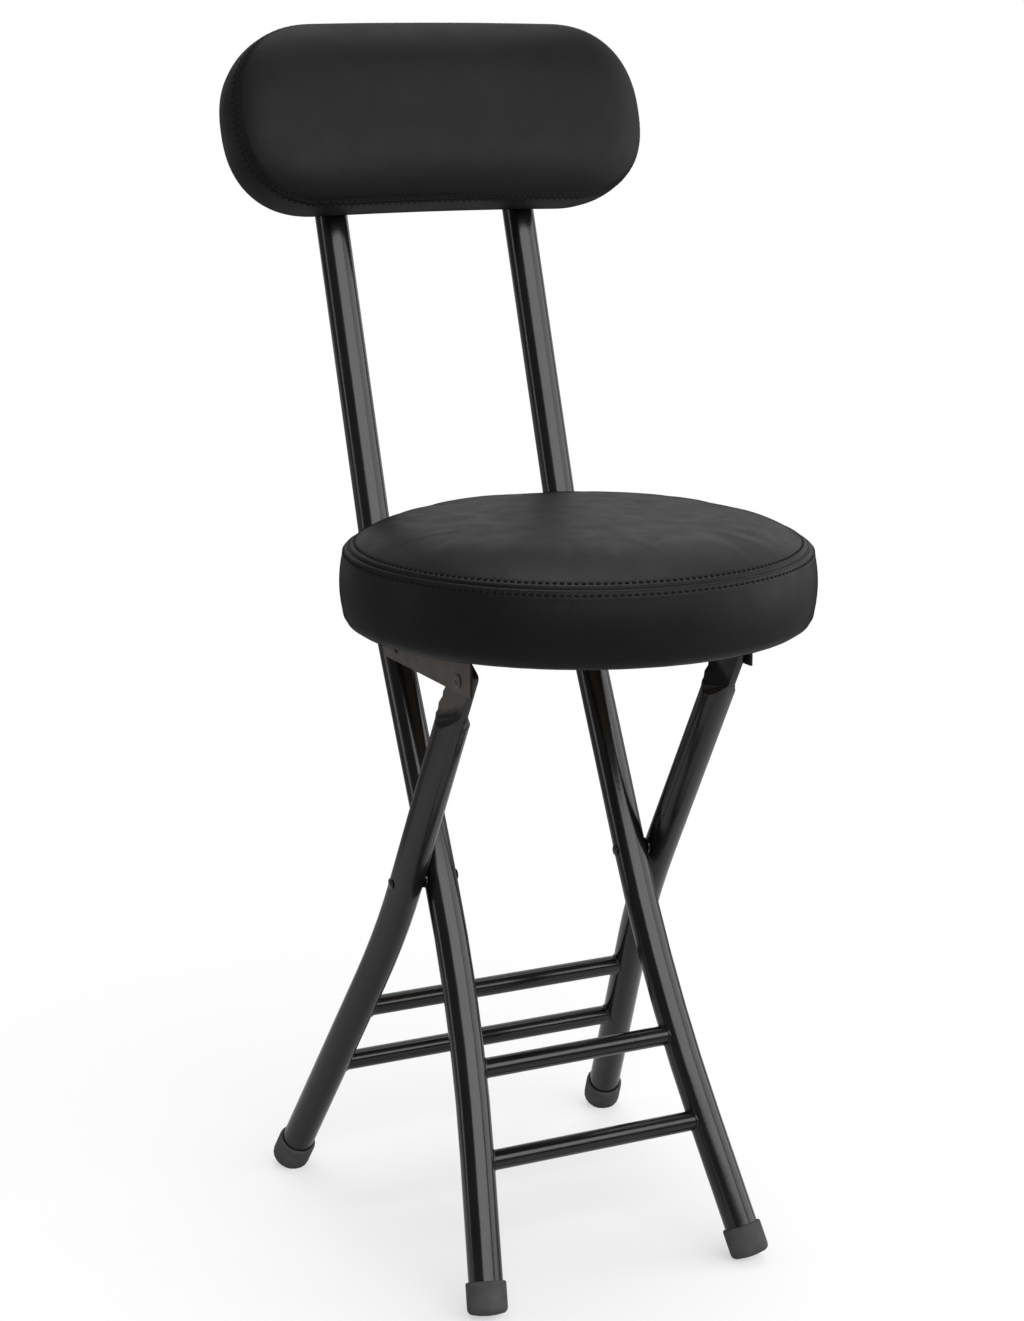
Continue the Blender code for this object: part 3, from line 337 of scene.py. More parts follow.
def leather():
    """Fine-grained black artificial leather with a satin surface."""
    surface, tree, shader = new_material("leather")
    facing = add_node(tree, "ShaderNodeLayerWeight")
    tree.links.new(spread(tree, facing.outputs["Facing"], 0.175, 0.0, 0.75, 0.96),
                   shader.inputs["Specular IOR Level"])
    tone = noise_texture(tree, 14, 4)
    tree.links.new(colour_between(tree, tone, (0.0042, 0.0042, 0.0044), (0.0062, 0.0062, 0.0064)),
                   shader.inputs["Base Color"])
    tree.links.new(spread(tree, noise_texture(tree, 60, 5), 0.44, 0.52), shader.inputs["Roughness"])
    grain = bump(tree, cell_texture(tree, 1100), 0.00012, 0.55)
    creases = bump(tree, noise_texture(tree, 420, 4, 0.6), 0.00012, 0.4, grain)
    tree.links.new(bump(tree, noise_texture(tree, 45, 3), 0.0006, 0.25, creases), shader.inputs["Normal"])
    return surface


def painted_steel(name="black_paint"):
    """Glossy black paint, slightly uneven as sprayed paint is."""
    surface, tree, shader = new_material(name)
    shader.inputs["Specular IOR Level"].default_value = 0.5
    tone = noise_texture(tree, 35, 4)
    tree.links.new(colour_between(tree, tone, (0.0040, 0.0038, 0.0036), (0.0070, 0.0066, 0.0062)),
                   shader.inputs["Base Color"])
    scuffs = spread(tree, noise_texture(tree, 22, 8, 0.65), 0.13, 0.22)
    tree.links.new(scuffs, shader.inputs["Roughness"])
    peel = bump(tree, noise_texture(tree, 520, 2), 0.00006, 0.5)
    tree.links.new(bump(tree, noise_texture(tree, 60, 2), 0.0003, 0.2, peel), shader.inputs["Normal"])
    return surface


def outward_faces(tree, start, end):
    """1 on faces that look away from the stool's middle plane, and 0 on inner faces and edges.

    The measure is the normal's X times the place's X, so start and end are in metres.
    """
    normal = separated(tree, add_node(tree, "ShaderNodeTexCoord").outputs["Normal"])
    place = separated(tree, object_coordinates(tree))
    return spread(tree, reckon(tree, "MULTIPLY", normal["X"], place["X"]), 0, 1, start, end)


def pressed_leg_steel():
    """The black paint of the short legs, with a painted brown-grey sheen on the pressed ends' outer faces.
    """
    surface = painted_steel("leg_paint")
    tree = surface.node_tree
    shader = tree.nodes["Principled BSDF"]
    place = separated(tree, object_coordinates(tree))
    # Painted sheen: a brown-grey reflection colour, and more roughness, on the pressed ends' outer faces
    ragged = reckon(tree, "MULTIPLY_ADD", noise_texture(tree, 160, 4), PRESSED_SHEEN_EDGE, place["Z"])
    tilted = reckon(tree, "MULTIPLY_ADD", place["Y"], PRESSED_SHEEN_TILT, ragged)
    edge = PRESSED_SHEEN_HEIGHT + PRESSED_SHEEN_TILT * PRESSED_SHEEN_MIDDLE_Y
    high = spread(tree, tilted, 0, 1, edge, edge + PRESSED_SHEEN_EDGE)
    painted_sheen = reckon(tree, "MULTIPLY", high, outward_faces(tree, 0.070, 0.090))
    for name, kind, finish in (("Base Color", "RGBA", PRESSED_SHEEN_COLOUR), ("Roughness", "FLOAT", PRESSED_SHEEN_ROUGHNESS)):
        socket = shader.inputs[name]
        paint = socket.links[0].from_socket
        tree.links.new(faded(tree, kind, painted_sheen, paint, finish), socket)
    return surface


def plate_steel():
    """Satin side plates and straps: brown-grey painted sheen on outward faces, black on inner faces and
    edges.
    """
    surface, tree, shader = new_material("plate_steel")
    shader.inputs["Metallic"].default_value = 0.35
    tone = noise_texture(tree, 60, 5)
    # The brown-grey is a painted sheen, a reflection put into the colour; it is kept to the outward faces
    satin = colour_between(tree, tone, (0.104, 0.087, 0.075), (0.146, 0.124, 0.107))
    finish = faded(tree, "RGBA", outward_faces(tree, 0.020, 0.060), INNER_BLACK, satin)
    tree.links.new(finish, shader.inputs["Base Color"])
    tree.links.new(spread(tree, noise_texture(tree, 90, 6, 0.6), 0.38, 0.52), shader.inputs["Roughness"])
    tree.links.new(bump(tree, noise_texture(tree, 700, 3), 0.00005, 0.5), shader.inputs["Normal"])
    return surface


def fastener_steel():
    """Dark plated rivets and screws."""
    surface, tree, shader = new_material("fastener_steel")
    shader.inputs["Metallic"].default_value = 0.9
    tone = noise_texture(tree, 300, 4)
    tree.links.new(colour_between(tree, tone, (0.035, 0.033, 0.031), (0.075, 0.071, 0.067)),
                   shader.inputs["Base Color"])
    tree.links.new(spread(tree, noise_texture(tree, 500, 4), 0.28, 0.45), shader.inputs["Roughness"])
    tree.links.new(bump(tree, noise_texture(tree, 1500, 2), 0.00003, 0.5), shader.inputs["Normal"])
    return surface


def zinc_steel():
    """Bright wire of the staples."""
    surface, tree, shader = new_material("staple_wire")
    shader.inputs["Metallic"].default_value = 1.0
    tone = noise_texture(tree, 400, 3)
    tree.links.new(colour_between(tree, tone, (0.36, 0.36, 0.37), (0.52, 0.52, 0.53)),
                   shader.inputs["Base Color"])
    tree.links.new(spread(tree, tone, 0.25, 0.42), shader.inputs["Roughness"])
    return surface


def rubber():
    """Matt dark-grey moulded rubber with dust in its pores."""
    surface, tree, shader = new_material("rubber")
    shader.inputs["Specular IOR Level"].default_value = 0.35
    tone = noise_texture(tree, 90, 6, 0.6)
    tree.links.new(colour_between(tree, tone, (0.040, 0.039, 0.039), (0.062, 0.060, 0.060)),
                   shader.inputs["Base Color"])
    tree.links.new(spread(tree, noise_texture(tree, 240, 4), 0.66, 0.82), shader.inputs["Roughness"])
    tree.links.new(bump(tree, noise_texture(tree, 1600, 3), 0.00008, 0.6), shader.inputs["Normal"])
    return surface


def plastic():
    """Black moulded plastic."""
    surface, tree, shader = new_material("plastic")
    tone = noise_texture(tree, 120, 3)
    tree.links.new(colour_between(tree, tone, (0.010, 0.010, 0.010), (0.016, 0.016, 0.016)),
                   shader.inputs["Base Color"])
    tree.links.new(spread(tree, tone, 0.42, 0.55), shader.inputs["Roughness"])
    tree.links.new(bump(tree, noise_texture(tree, 1800, 2), 0.00004, 0.5), shader.inputs["Normal"])
    return surface


def thread():
    """Black sewing thread with its twist."""
    surface, tree, shader = new_material("thread")
    shader.inputs["Specular IOR Level"].default_value = 0.1
    tone = noise_texture(tree, 2500, 2)
    tree.links.new(colour_between(tree, tone, (0.0035, 0.0035, 0.0035), (0.009, 0.009, 0.009)),
                   shader.inputs["Base Color"])
    tree.links.new(spread(tree, tone, 0.6, 0.8), shader.inputs["Roughness"])
    tree.links.new(bump(tree, noise_texture(tree, 3000, 2), 0.0001, 0.8), shader.inputs["Normal"])
    return surface


def plywood():
    """Rotary-cut plywood: long wavy grain with darker streaks."""
    surface, tree, shader = new_material("plywood")
    stretch = add_node(tree, "ShaderNodeMapping")
    stretch.inputs["Scale"].default_value = (2.2, 30, 30)
    tree.links.new(object_coordinates(tree), stretch.inputs["Vector"])
    grain = add_node(tree, "ShaderNodeTexNoise")
    grain.inputs["Scale"].default_value = 6
    grain.inputs["Detail"].default_value = 8
    grain.inputs["Distortion"].default_value = 0.8
    tree.links.new(stretch.outputs["Vector"], grain.inputs["Vector"])
    tree.links.new(colour_between(tree, grain.outputs["Fac"], (0.20, 0.115, 0.055), (0.42, 0.28, 0.155)),
                   shader.inputs["Base Color"])
    tree.links.new(spread(tree, grain.outputs["Fac"], 0.62, 0.80), shader.inputs["Roughness"])
    tree.links.new(bump(tree, grain.outputs["Fac"], 0.0003, 0.4), shader.inputs["Normal"])
    return surface


LEG_STEEL = pressed_leg_steel()
MATERIALS = {
    "painted_steel": painted_steel(), "bracket_steel": plate_steel(), "plated_steel": fastener_steel(),
    "cap_rubber": rubber(), "black_plastic": plastic(), "cover_leather": leather(), "plywood": plywood(),
}
THREAD = thread()
STAPLE_WIRE = zinc_steel()


def node_finish(name):
    """The finish of a CAD node, from its name."""
    for words, slot in (
        (("upright_plug",), "black_plastic"), (("foot_cap",), "cap_rubber"), (("_board",), "plywood"),
        (("_cover", "_foam"), "cover_leather"), (("crossing_rivet", "crossing_washer"), "painted_steel"),
        (("pivot_rivet",), "bracket_steel"), (("screw", "rivet", "rest_pin"), "plated_steel"),
        (("bracket", "hook_strap"), "bracket_steel"),
    ):
        if any(word in name for word in words):
            return slot
    return "painted_steel"


def smooth_group():
    """Joins a node's facets and shades them round, except across edges sharper than the crease angle."""
    group = bpy.data.node_groups.new("round_shading", "GeometryNodeTree")
    group.interface.new_socket("Geometry", in_out="INPUT", socket_type="NodeSocketGeometry")
    group.interface.new_socket("Geometry", in_out="OUTPUT", socket_type="NodeSocketGeometry")
    start = group.nodes.new("NodeGroupInput")
    end = group.nodes.new("NodeGroupOutput")
    weld = group.nodes.new("GeometryNodeMergeByDistance")
    weld.inputs["Distance"].default_value = MERGE_DISTANCE
    round_off = group.nodes.new("GeometryNodeSetShadeSmooth")
    round_off.domain = "FACE"
    crisp = group.nodes.new("GeometryNodeSetShadeSmooth")
    crisp.domain = "EDGE"
    crisp.inputs["Shade Smooth"].default_value = False
    angle = group.nodes.new("GeometryNodeInputMeshEdgeAngle")
    sharper = group.nodes.new("FunctionNodeCompare")
    sharper.operation = "GREATER_THAN"
    sharper.inputs[1].default_value = CREASE_ANGLE
    links = group.links
    links.new(start.outputs[0], weld.inputs["Geometry"])
    links.new(weld.outputs["Geometry"], round_off.inputs["Geometry"])
    links.new(round_off.outputs["Geometry"], crisp.inputs["Geometry"])
    links.new(angle.outputs["Unsigned Angle"], sharper.inputs[0])
    links.new(sharper.outputs["Result"], crisp.inputs["Selection"])
    links.new(crisp.outputs["Geometry"], end.inputs[0])
    return group


ROUND_SHADING = smooth_group()
for name, node in NODES.items():
    if "custom_normal" in node.data.attributes:
        node.data.attributes.remove(node.data.attributes["custom_normal"])
    node.modifiers.new("Round shading", "NODES").node_group = ROUND_SHADING
    surface = LEG_STEEL if name.startswith("leg_") else MATERIALS[node_finish(name)]
    if node.material_slots:
        for place in node.material_slots:
            place.material = surface
    else:
        node.data.materials.append(surface)


# Pads
def outline_parts(pad):
    """Points around a pad as (straight end x, unit x, unit y), evenly spaced along the edge.

    A pad without end_power is round. One with it has straight edges between two superelliptic ends.
    """
    if "end_power" not in pad:
        count = pad["stitches"] * STEPS_PER_STITCH
        angles = 2 * np.pi * np.arange(count) / count
        return np.zeros(count), np.cos(angles), np.sin(angles)
    radius = pad["height"] / 2
    straight = pad["width"] / 2 - radius
    power = 2 / pad["end_power"]
    fine = np.linspace(-np.pi / 2, np.pi / 2, 4001)
    unit_x = np.maximum(np.cos(fine), 0) ** power
    unit_y = np.sign(np.sin(fine)) * np.abs(np.sin(fine)) ** power
    length = np.concatenate(([0], np.cumsum(np.hypot(np.diff(unit_x), np.diff(unit_y)))))
    step = PITCH / STEPS_PER_STITCH
    arc_count = 2 * round(length[-1] * radius / step / 2)
    line_count = 2 * round(2 * straight / step / 2)
    share = length[-1] * np.arange(arc_count) / arc_count
    arc_x = np.interp(share, length, unit_x)
    arc_y = np.interp(share, length, unit_y)
    run = straight * (1 - 2 * np.arange(line_count) / line_count)
    ends = np.concatenate((np.full(arc_count, straight), run, np.full(arc_count, -straight), -run))
    xs = np.concatenate((arc_x, np.zeros(line_count), -arc_x, np.zeros(line_count)))
    ys = np.concatenate((arc_y, np.ones(line_count), -arc_y, -np.ones(line_count)))
    return ends, xs, ys


def skin_line(pad):
    """The pad's outer skin as dense (inset, height) points, hem's edge to crown's centre.

    The second result is the index of the point where the shoulder ends and the crown starts.
    """
    draw, corner, shoulder = pad["draw"], pad["corner"], pad["shoulder"]
    top = pad["side"] - shoulder
    points = []
    for share in np.linspace(0, 1, HEM_STEPS, endpoint=False):
        points.append((draw + corner + pad["hem"] * (1 - share), 0.0))
    for turn in np.linspace(-math.pi / 2, 0, CORNER_STEPS, endpoint=False):
        points.append((draw + corner * (1 - math.cos(turn)), corner * (1 + math.sin(turn))))
    for share in np.linspace(0, 1, SIDE_STEPS, endpoint=False):
        waist = draw * (2 * share - 1) ** 2
        points.append((waist, corner + (top - corner) * share))
    for turn in np.linspace(0, SHOULDER_TURN, SHOULDER_STEPS, endpoint=False):
        points.append((draw + shoulder * (1 - math.cos(turn)), top + shoulder * math.sin(turn)))
    shoulder_end = len(points)
    start_inset = draw + shoulder * (1 - math.cos(SHOULDER_TURN))
    start_height = top + shoulder * math.sin(SHOULDER_TURN)
    crown = pad["side"] + SEAM_RISE + pad["crown"] - start_height
    for share in np.linspace(0, 1, CROWN_STEPS) ** RIM_POWER:
        rise = crown * (1 - (1 - share) ** pad["fullness"])
        points.append((start_inset + (pad["reach"] - start_inset) * share, start_height + rise))
    return np.array(points), shoulder_end


def pad_rows(pad):
    """The pad's rows, close together at the seam and its stitches, wider apart elsewhere.

    For each row: its distance along the skin from the seam, its inset, its height, and the outward
    direction as (in the pad's plane, along its height).
    """
    line, shoulder_end = skin_line(pad)
    steps = np.hypot(*np.diff(line, axis=0).T)
    along = np.concatenate(([0], np.cumsum(steps)))
    along -= along[shoulder_end] - pad["seam_back"]

    def skin_at(distances):
        return np.stack([np.interp(distances, along, line[:, column]) for column in (0, 1)])

    places = [along[0]]
    while places[-1] < along[-1]:
        near = min(abs(places[-1]), abs(abs(places[-1]) - pad["row"]) + STITCH_ZONE_LESS)
        step = ROW_SHORTEST + ROW_GROWTH * max(near - SEAM_ZONE, 0)
        places.append(places[-1] + min(ROW_LONGEST, step))
    places[-1] = along[-1]
    places = np.array(places)
    inset, height = skin_at(places)
    run = skin_at(places + SLOPE_REACH) - skin_at(places - SLOPE_REACH)
    run /= np.maximum(np.hypot(run[0], run[1]), 1e-9)
    outward = np.stack((run[1], run[0]), axis=1)
    return places, inset, height, outward


def ring_points(pad, parts, inset, height):
    """The pad's outline, drawn in by inset and set at a height."""
    ends, xs, ys = parts
    reach = pad["reach"] - inset
    across = ends + xs * reach
    arch = pad["arch"] * (1 - (2 * across / pad["width"]) ** 2)
    return np.stack((across, ys * reach + arch, np.full(len(xs), height)), axis=1)


def bridge(bm, rings):
    """Faces between each ring of vertices and the next."""
    for low, high in zip(rings, rings[1:]):
        for index in range(len(low)):
            after = (index + 1) % len(low)
            bm.faces.new((low[index], low[after], high[after], high[index]))


def grid_object(name, rings, surface):
    """A mesh from rings of points, each ring closed; the first and last ring may have collapsed."""
    bm = bmesh.new()
    bridge(bm, [[bm.verts.new(point) for point in ring] for ring in rings])
    bmesh.ops.remove_doubles(bm, verts=bm.verts, dist=MERGE_DISTANCE)
    bmesh.ops.dissolve_degenerate(bm, edges=bm.edges, dist=MERGE_DISTANCE / 2)
    bmesh.ops.recalc_face_normals(bm, faces=bm.faces)
    mesh = bpy.data.meshes.new(name)
    bm.to_mesh(mesh)
    bm.free()
    mesh.shade_smooth()
    mesh.materials.append(surface)
    piece = bpy.data.objects.new(name, mesh)
    bpy.context.scene.collection.objects.link(piece)
    return piece


def vertex_places(mesh):
    """The places of a mesh's vertices, one row each."""
    places = np.empty(len(mesh.vertices) * 3)
    mesh.vertices.foreach_get("co", places)
    return places.reshape(-1, 3)


def swelling(pad, rings):
    """How the padded cover swells, as (tree, faces, vertices and how far each moves).

    It is cloth under pressure, on a remeshed copy of the pad that is held at its back.
    """
    body = grid_object(f"{pad['name']}_swelling", rings, MATERIALS["cover_leather"])
    remesh = body.modifiers.new("Remesh", "REMESH")
    remesh.mode = "VOXEL"
    remesh.voxel_size = REMESH_SIZE
    bpy.context.view_layer.update()
    graph = bpy.context.evaluated_depsgraph_get()
    mesh = bpy.data.meshes.new_from_object(body.evaluated_get(graph))
    body.modifiers.clear()
    body.data = mesh
    before = vertex_places(mesh)
    held = body.vertex_groups.new(name="held")
    for index, point in enumerate(before):
        share = min(max(1 - (point[2] - HELD_BELOW) / HELD_FADE, 0), 1)
        if share > 0:
            held.add([index], share, "REPLACE")
    cloth = body.modifiers.new("Cloth", "CLOTH")
    for key, value in CLOTH.items():
        setattr(cloth.settings, key, value)
    cloth.settings.vertex_group_mass = "held"
    cloth.settings.effector_weights.gravity = 0
    cloth.point_cache.frame_start = 1
    cloth.point_cache.frame_end = SWELL_FRAMES
    scene = bpy.context.scene
    for number in range(1, SWELL_FRAMES + 1):
        scene.frame_set(number)
    graph = bpy.context.evaluated_depsgraph_get()
    move = vertex_places(body.evaluated_get(graph).to_mesh()) - before
    faces = [tuple(face.vertices) for face in mesh.polygons]
    tree = BVHTree.FromPolygons([Vector(point) for point in before], faces)
    bpy.data.objects.remove(body)
    scene.frame_set(1)
    return tree, faces, before, move


def carried(field, points):
    """The swelling at other points near the remeshed skin, by inverse distance over the nearest face."""
    tree, faces, before, move = field
    result = np.zeros_like(points)
    for index, point in enumerate(points):
        _, _, face, _ = tree.find_nearest(Vector(point))
        corners = list(faces[face])
        weight = 1 / (np.linalg.norm(before[corners] - point, axis=1) + SWELL_REACH) ** 2
        result[index] = (move[corners] * weight[:, None]).sum(axis=0) / weight.sum()
    return result


def smooth_rings(values, times):
    """Evens a grid of values along and across its rings."""
    for _ in range(times):
        values = (values + np.roll(values, 1, axis=1) + np.roll(values, -1, axis=1)) / 3
        inner = (values[:-2] + values[1:-1] + values[2:]) / 3
        values = np.concatenate((values[:1], inner, values[-1:]))
    return values


def fade_in(values, start, length):
    """0 up to start, and from there rising to 1 over a length."""
    return np.clip((values - start) / length, 0, 1)


def ripple(point, size, seed):
    """Smooth noise at a point, with waves of a size."""
    return noise.noise(Vector((point[0] / size + seed, point[1] / size, point[2] / size)))


def build_pad(pad, place):
    """The stuffed cover with its seam, stitch sinks, gathered hem and the hollow for the board."""
    parts = outline_parts(pad)
    count = len(parts[0])
    places, inset, height, outward = pad_rows(pad)
    rows = len(places)
    grid = np.stack([ring_points(pad, parts, inset[row], height[row]) for row in range(rows)])
    in_plane = ring_points(pad, parts, 0.0, 0.0) - ring_points(pad, parts, DIRECTION_INSET, 0.0)
    in_plane /= np.linalg.norm(in_plane, axis=1)[:, None]
    sideways, upwards = outward[:, 0][:, None, None], outward[:, 1][:, None, None]
    direction = sideways * in_plane[None] + upwards * np.array([0, 0, 1.0])
    on_side = fade_in(height, pad["corner"], FADE)

    # Swelling from the cloth run, with each ring's mean taken off so that the outline stays
    lift = np.zeros((rows, count))
    closed_skin = [ring_points(pad, parts, pad["reach"], 0.0)] + list(grid)
    field = swelling(pad, closed_skin)
    thin = list(range(0, rows, SWELL_ROWS))
    coarse = np.stack([carried(field, grid[row][::STEPS_PER_STITCH]) for row in thin])
    across = (coarse * direction[thin][:, ::STEPS_PER_STITCH]).sum(axis=2)
    across = np.repeat(across, STEPS_PER_STITCH, axis=1)
    columns = [np.interp(np.arange(rows), thin, across[:, index]) for index in range(count)]
    full = smooth_rings(np.stack(columns, axis=1), SWELL_EVENING)
    full -= full.mean(axis=1)[:, None]
    crowned = fade_in(places, SWELL_START, SWELL_FADE) * fade_in(pad["reach"] - inset, 0, SWELL_FADE)
    share = np.where(places > 0, crowned, on_side * SWELL_ON_SIDES)
    lift += share[:, None] * SWELL_LIMIT * np.tanh(full / SWELL_LIMIT)

    # Slack in the leather, seam groove with its lips, and the sinks under the stitches
    for row in range(rows):
        if on_side[row] <= 0:
            continue
        fade = on_side[row] * min(1.0, abs(places[row]) / FADE + SEAM_SLACK)
        for index in range(count):
            point = grid[row][index]
            lift[row, index] += fade * sum(rise * ripple(point, size, seed) for rise, size, seed in SLACK)
    groove = -GROOVE_DEPTH * np.exp(-((places / GROOVE_WIDTH) ** 2))
    groove += LIP_HEIGHT * np.exp(-(((np.abs(places) - LIP_PLACE) / LIP_WIDTH) ** 2))
    under_stitch = np.array(STITCH_SHARES)[np.arange(count) % STEPS_PER_STITCH]
    for sign in (1, -1):
        near = np.exp(-(((places - sign * pad["row"]) / STITCH_WIDTH) ** 2))
        lift -= STITCH_SINK * near[:, None] * under_stitch[None]
        lift += STITCH_PUCKER * near[:, None] * (1 - under_stitch[None])
    lift += groove[:, None]

    # Gathers drawn up into the hem
    on_hem = fade_in(inset - pad["draw"], pad["corner"] * 0.5, FADE) * (height < HEM_BELOW)
    edge = np.linspace(0, 2 * np.pi, count, endpoint=False)
    phase = edge * GATHERS
    for turn, waves in GATHER_DRIFT:
        phase = phase + turn * np.sin(edge * waves)
    gathers = 0.5 + 0.5 * np.sin(phase)
    lift -= GATHER_DEPTH * on_hem[:, None] * gathers[None] ** 2
    grid = grid + direction * lift[..., None]

    # Inside: the hem's upper face, the hollow's wall and its roof under the stuffing
    wall = pad["draw"] + pad["corner"]
    roof = COVER + GAP + pad["board"] + GAP
    inner = [(pad["reach"], roof), (wall + ROOF_INSET, roof), (wall, roof), (wall, COVER),
             (wall + pad["hem"], COVER)]
    hollow_pad = {**pad, "arch": pad["hollow_arch"]}
    inside = [ring_points(hollow_pad, parts, *step) for step in inner]
    piece = grid_object(f"{pad['name']}_pad", inside + list(grid), MATERIALS["cover_leather"])
    piece.matrix_world = place
    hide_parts(f"{pad['name']}_cover", f"{pad['name']}_foam")
    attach(piece, pad["body"])
    return grid, direction, places


def capsule(bm, points, radius, sides=6):
    """A short rod along points, narrower at both ends."""
    sizes = [ROD_END] + [1.0] * (len(points) - 2) + [ROD_END]
    turns = [2 * math.pi * side / sides for side in range(sides)]
    rings = []
    for index, point in enumerate(points):
        before = points[max(index - 1, 0)]
        after = points[min(index + 1, len(points) - 1)]
        run = (after - before).normalized()
        across = run.orthogonal().normalized()
        up = run.cross(across)
        circle = [across * math.cos(turn) + up * math.sin(turn) for turn in turns]
        rings.append([bm.verts.new(point + way * radius * sizes[index]) for way in circle])
    bridge(bm, rings)
    bm.faces.new(list(reversed(rings[0])))
    bm.faces.new(rings[-1])


def mesh_piece(name, bm, place, body, surface):
    """A piece of the stool from a finished mesh, which rides on a body."""
    bmesh.ops.recalc_face_normals(bm, faces=bm.faces)
    mesh = bpy.data.meshes.new(name)
    bm.to_mesh(mesh)
    bm.free()
    mesh.shade_smooth()
    mesh.materials.append(surface)
    piece = bpy.data.objects.new(name, mesh)
    bpy.context.scene.collection.objects.link(piece)
    piece.matrix_world = place
    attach(piece, body)


def build_stitches(pad, place, grid, direction, places):
    """Two rows of single stitches, one on each side of the seam."""
    count = grid.shape[1]
    for label, sign in (("top", 1), ("band", -1)):
        row = int(np.argmin(np.abs(places - sign * pad["row"])))
        ring = grid[row] + direction[row] * pad["thread"] * THREAD_ABOVE
        bm = bmesh.new()
        for start in range(0, count, STEPS_PER_STITCH):
            path = []
            for share in STITCH_PATH:
                low = (start + int(share)) % count
                high = (low + 1) % count
                point = Vector(ring[low]).lerp(Vector(ring[high]), share - int(share))
                if share in (STITCH_PATH[0], STITCH_PATH[-1]):
                    point -= Vector(direction[row][low]) * pad["thread"] * THREAD_DIVE
                path.append(point)
            capsule(bm, path, pad["thread"])
        mesh_piece(f"{pad['name']}_stitches_{label}", bm, place, pad["body"], THREAD)


def under_ironwork(pad, x, y):
    """True where a side plate's flange or a tube lies against the hem."""
    near, far, low, high = pad["iron"]
    return near < abs(x) < far and low < y < high


def build_staples(pad, place):
    """Flat wire staples that hold the hem to the board."""
    parts = outline_parts(pad)
    inset = pad["draw"] + pad["corner"] + pad["hem"] * STAPLE_PLACE
    ring = ring_points(pad, parts, inset, 0.0)
    length = np.concatenate(([0], np.cumsum(np.linalg.norm(np.diff(ring[:, :2], axis=0), axis=1))))
    bm = bmesh.new()
    total = int(length[-1] / pad["staple_pitch"])
    for number in range(total):
        at = length[-1] * (number + 0.5) / total
        index = int(np.searchsorted(length, at)) % len(ring)
        point = ring[index]
        if under_ironwork(pad, point[0], point[1]):
            continue
        run = ring[(index + 1) % len(ring)] - ring[index - 1]
        turn = math.atan2(run[1], run[0]) + STAPLE_SLANT * math.sin(number * STAPLE_SLANT_STEP)
        along = Vector((math.cos(turn), math.sin(turn), 0))
        rise = Vector((0, 0, STAPLE_RISE))
        centre = Vector((point[0], point[1], -STAPLE_OFF_HEM))
        tip, bend, flat = (along * reach for reach in STAPLE_REACH)
        path = [centre - tip + rise, centre - bend, centre - flat,
                centre + flat, centre + bend, centre + tip + rise]
        capsule(bm, path, STAPLE_WIRE_RADIUS, 8)
    mesh_piece(f"{pad['name']}_staples", bm, place, pad["body"], STAPLE_WIRE)


for pad, place in ((SEAT, seat_place()), (BACKREST, backrest_place())):
    grid, direction, places = build_pad(pad, place)
    build_stitches(pad, place, grid, direction, places)
    build_staples(pad, place)


# Weld beads where the rungs meet the tubes
def build_weld(rung, tube, body, side):
    """A rippled bead around one end of a rung, where rays along the rung meet its tube."""
    low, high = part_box(rung)
    radius = (high[2] - low[2]) / 2
    centre = Vector((0, (low[1] + high[1]) / 2, (low[2] + high[2]) / 2))
    tree = BVHTree.FromObject(NODES[tube], bpy.context.evaluated_depsgraph_get())
    run = Vector((side, 0, 0))
    share, waves, seed = WELD_UNEVEN
    around = [2 * math.pi * number / WELD_SIDES for number in range(WELD_SIDES)]
    bm = bmesh.new()
    loops = []
    for index in range(WELD_STEPS):
        turn = 2 * math.pi * index / WELD_STEPS
        off = Vector((0, math.cos(turn), math.sin(turn)))
        point, _, _, _ = tree.ray_cast(centre + off * radius + run * WELD_RAYS_FROM, run)
        off = point - centre
        off.x = 0
        off.normalize()
        rippled = WELD_RIPPLE * math.sin(index * math.pi / 2)
        size = WELD_RADIUS * (1 + rippled + share * ripple(point, waves, seed))
        loops.append([bm.verts.new(point + (off * math.cos(angle) + run * math.sin(angle)) * size)
                      for angle in around])
    bridge(bm, loops + [loops[0]])
    label = "left" if side < 0 else "right"
    paint = MATERIALS["painted_steel"]
    mesh_piece(f"{rung}_weld_{label}", bm, Matrix.Identity(4), body, paint)


for level in ("upper", "lower"):
    for label, side in (("left", -1), ("right", 1)):
        build_weld(f"front_rung_{level}", f"upright_{label}", "back_frame", side)
        build_weld(f"rear_rung_{level}", f"leg_{label}", "leg_frame", side)


# Floor, background and light
def light_path(tree):
    """What a ray is for: 1 for the camera's rays, and 1 for those of reflections and glass."""
    rays = add_node(tree, "ShaderNodeLightPath").outputs
    other = reckon(tree, "MAXIMUM", rays["Is Glossy Ray"], rays["Is Transmission Ray"])
    return rays["Is Camera Ray"], other


def mixed(tree, share, first, second):
    """A shader mixed from two by a share."""
    mix = add_node(tree, "ShaderNodeMixShader")
    tree.links.new(share, mix.inputs[0])
    tree.links.new(first, mix.inputs[1])
    tree.links.new(second, mix.inputs[2])
    return mix.outputs[0]


def plain_light(tree, kind, strength):
    """A white emission or background node."""
    node = add_node(tree, kind)
    node.inputs["Color"].default_value = (1, 1, 1, 1)
    node.inputs["Strength"].default_value = strength
    return node


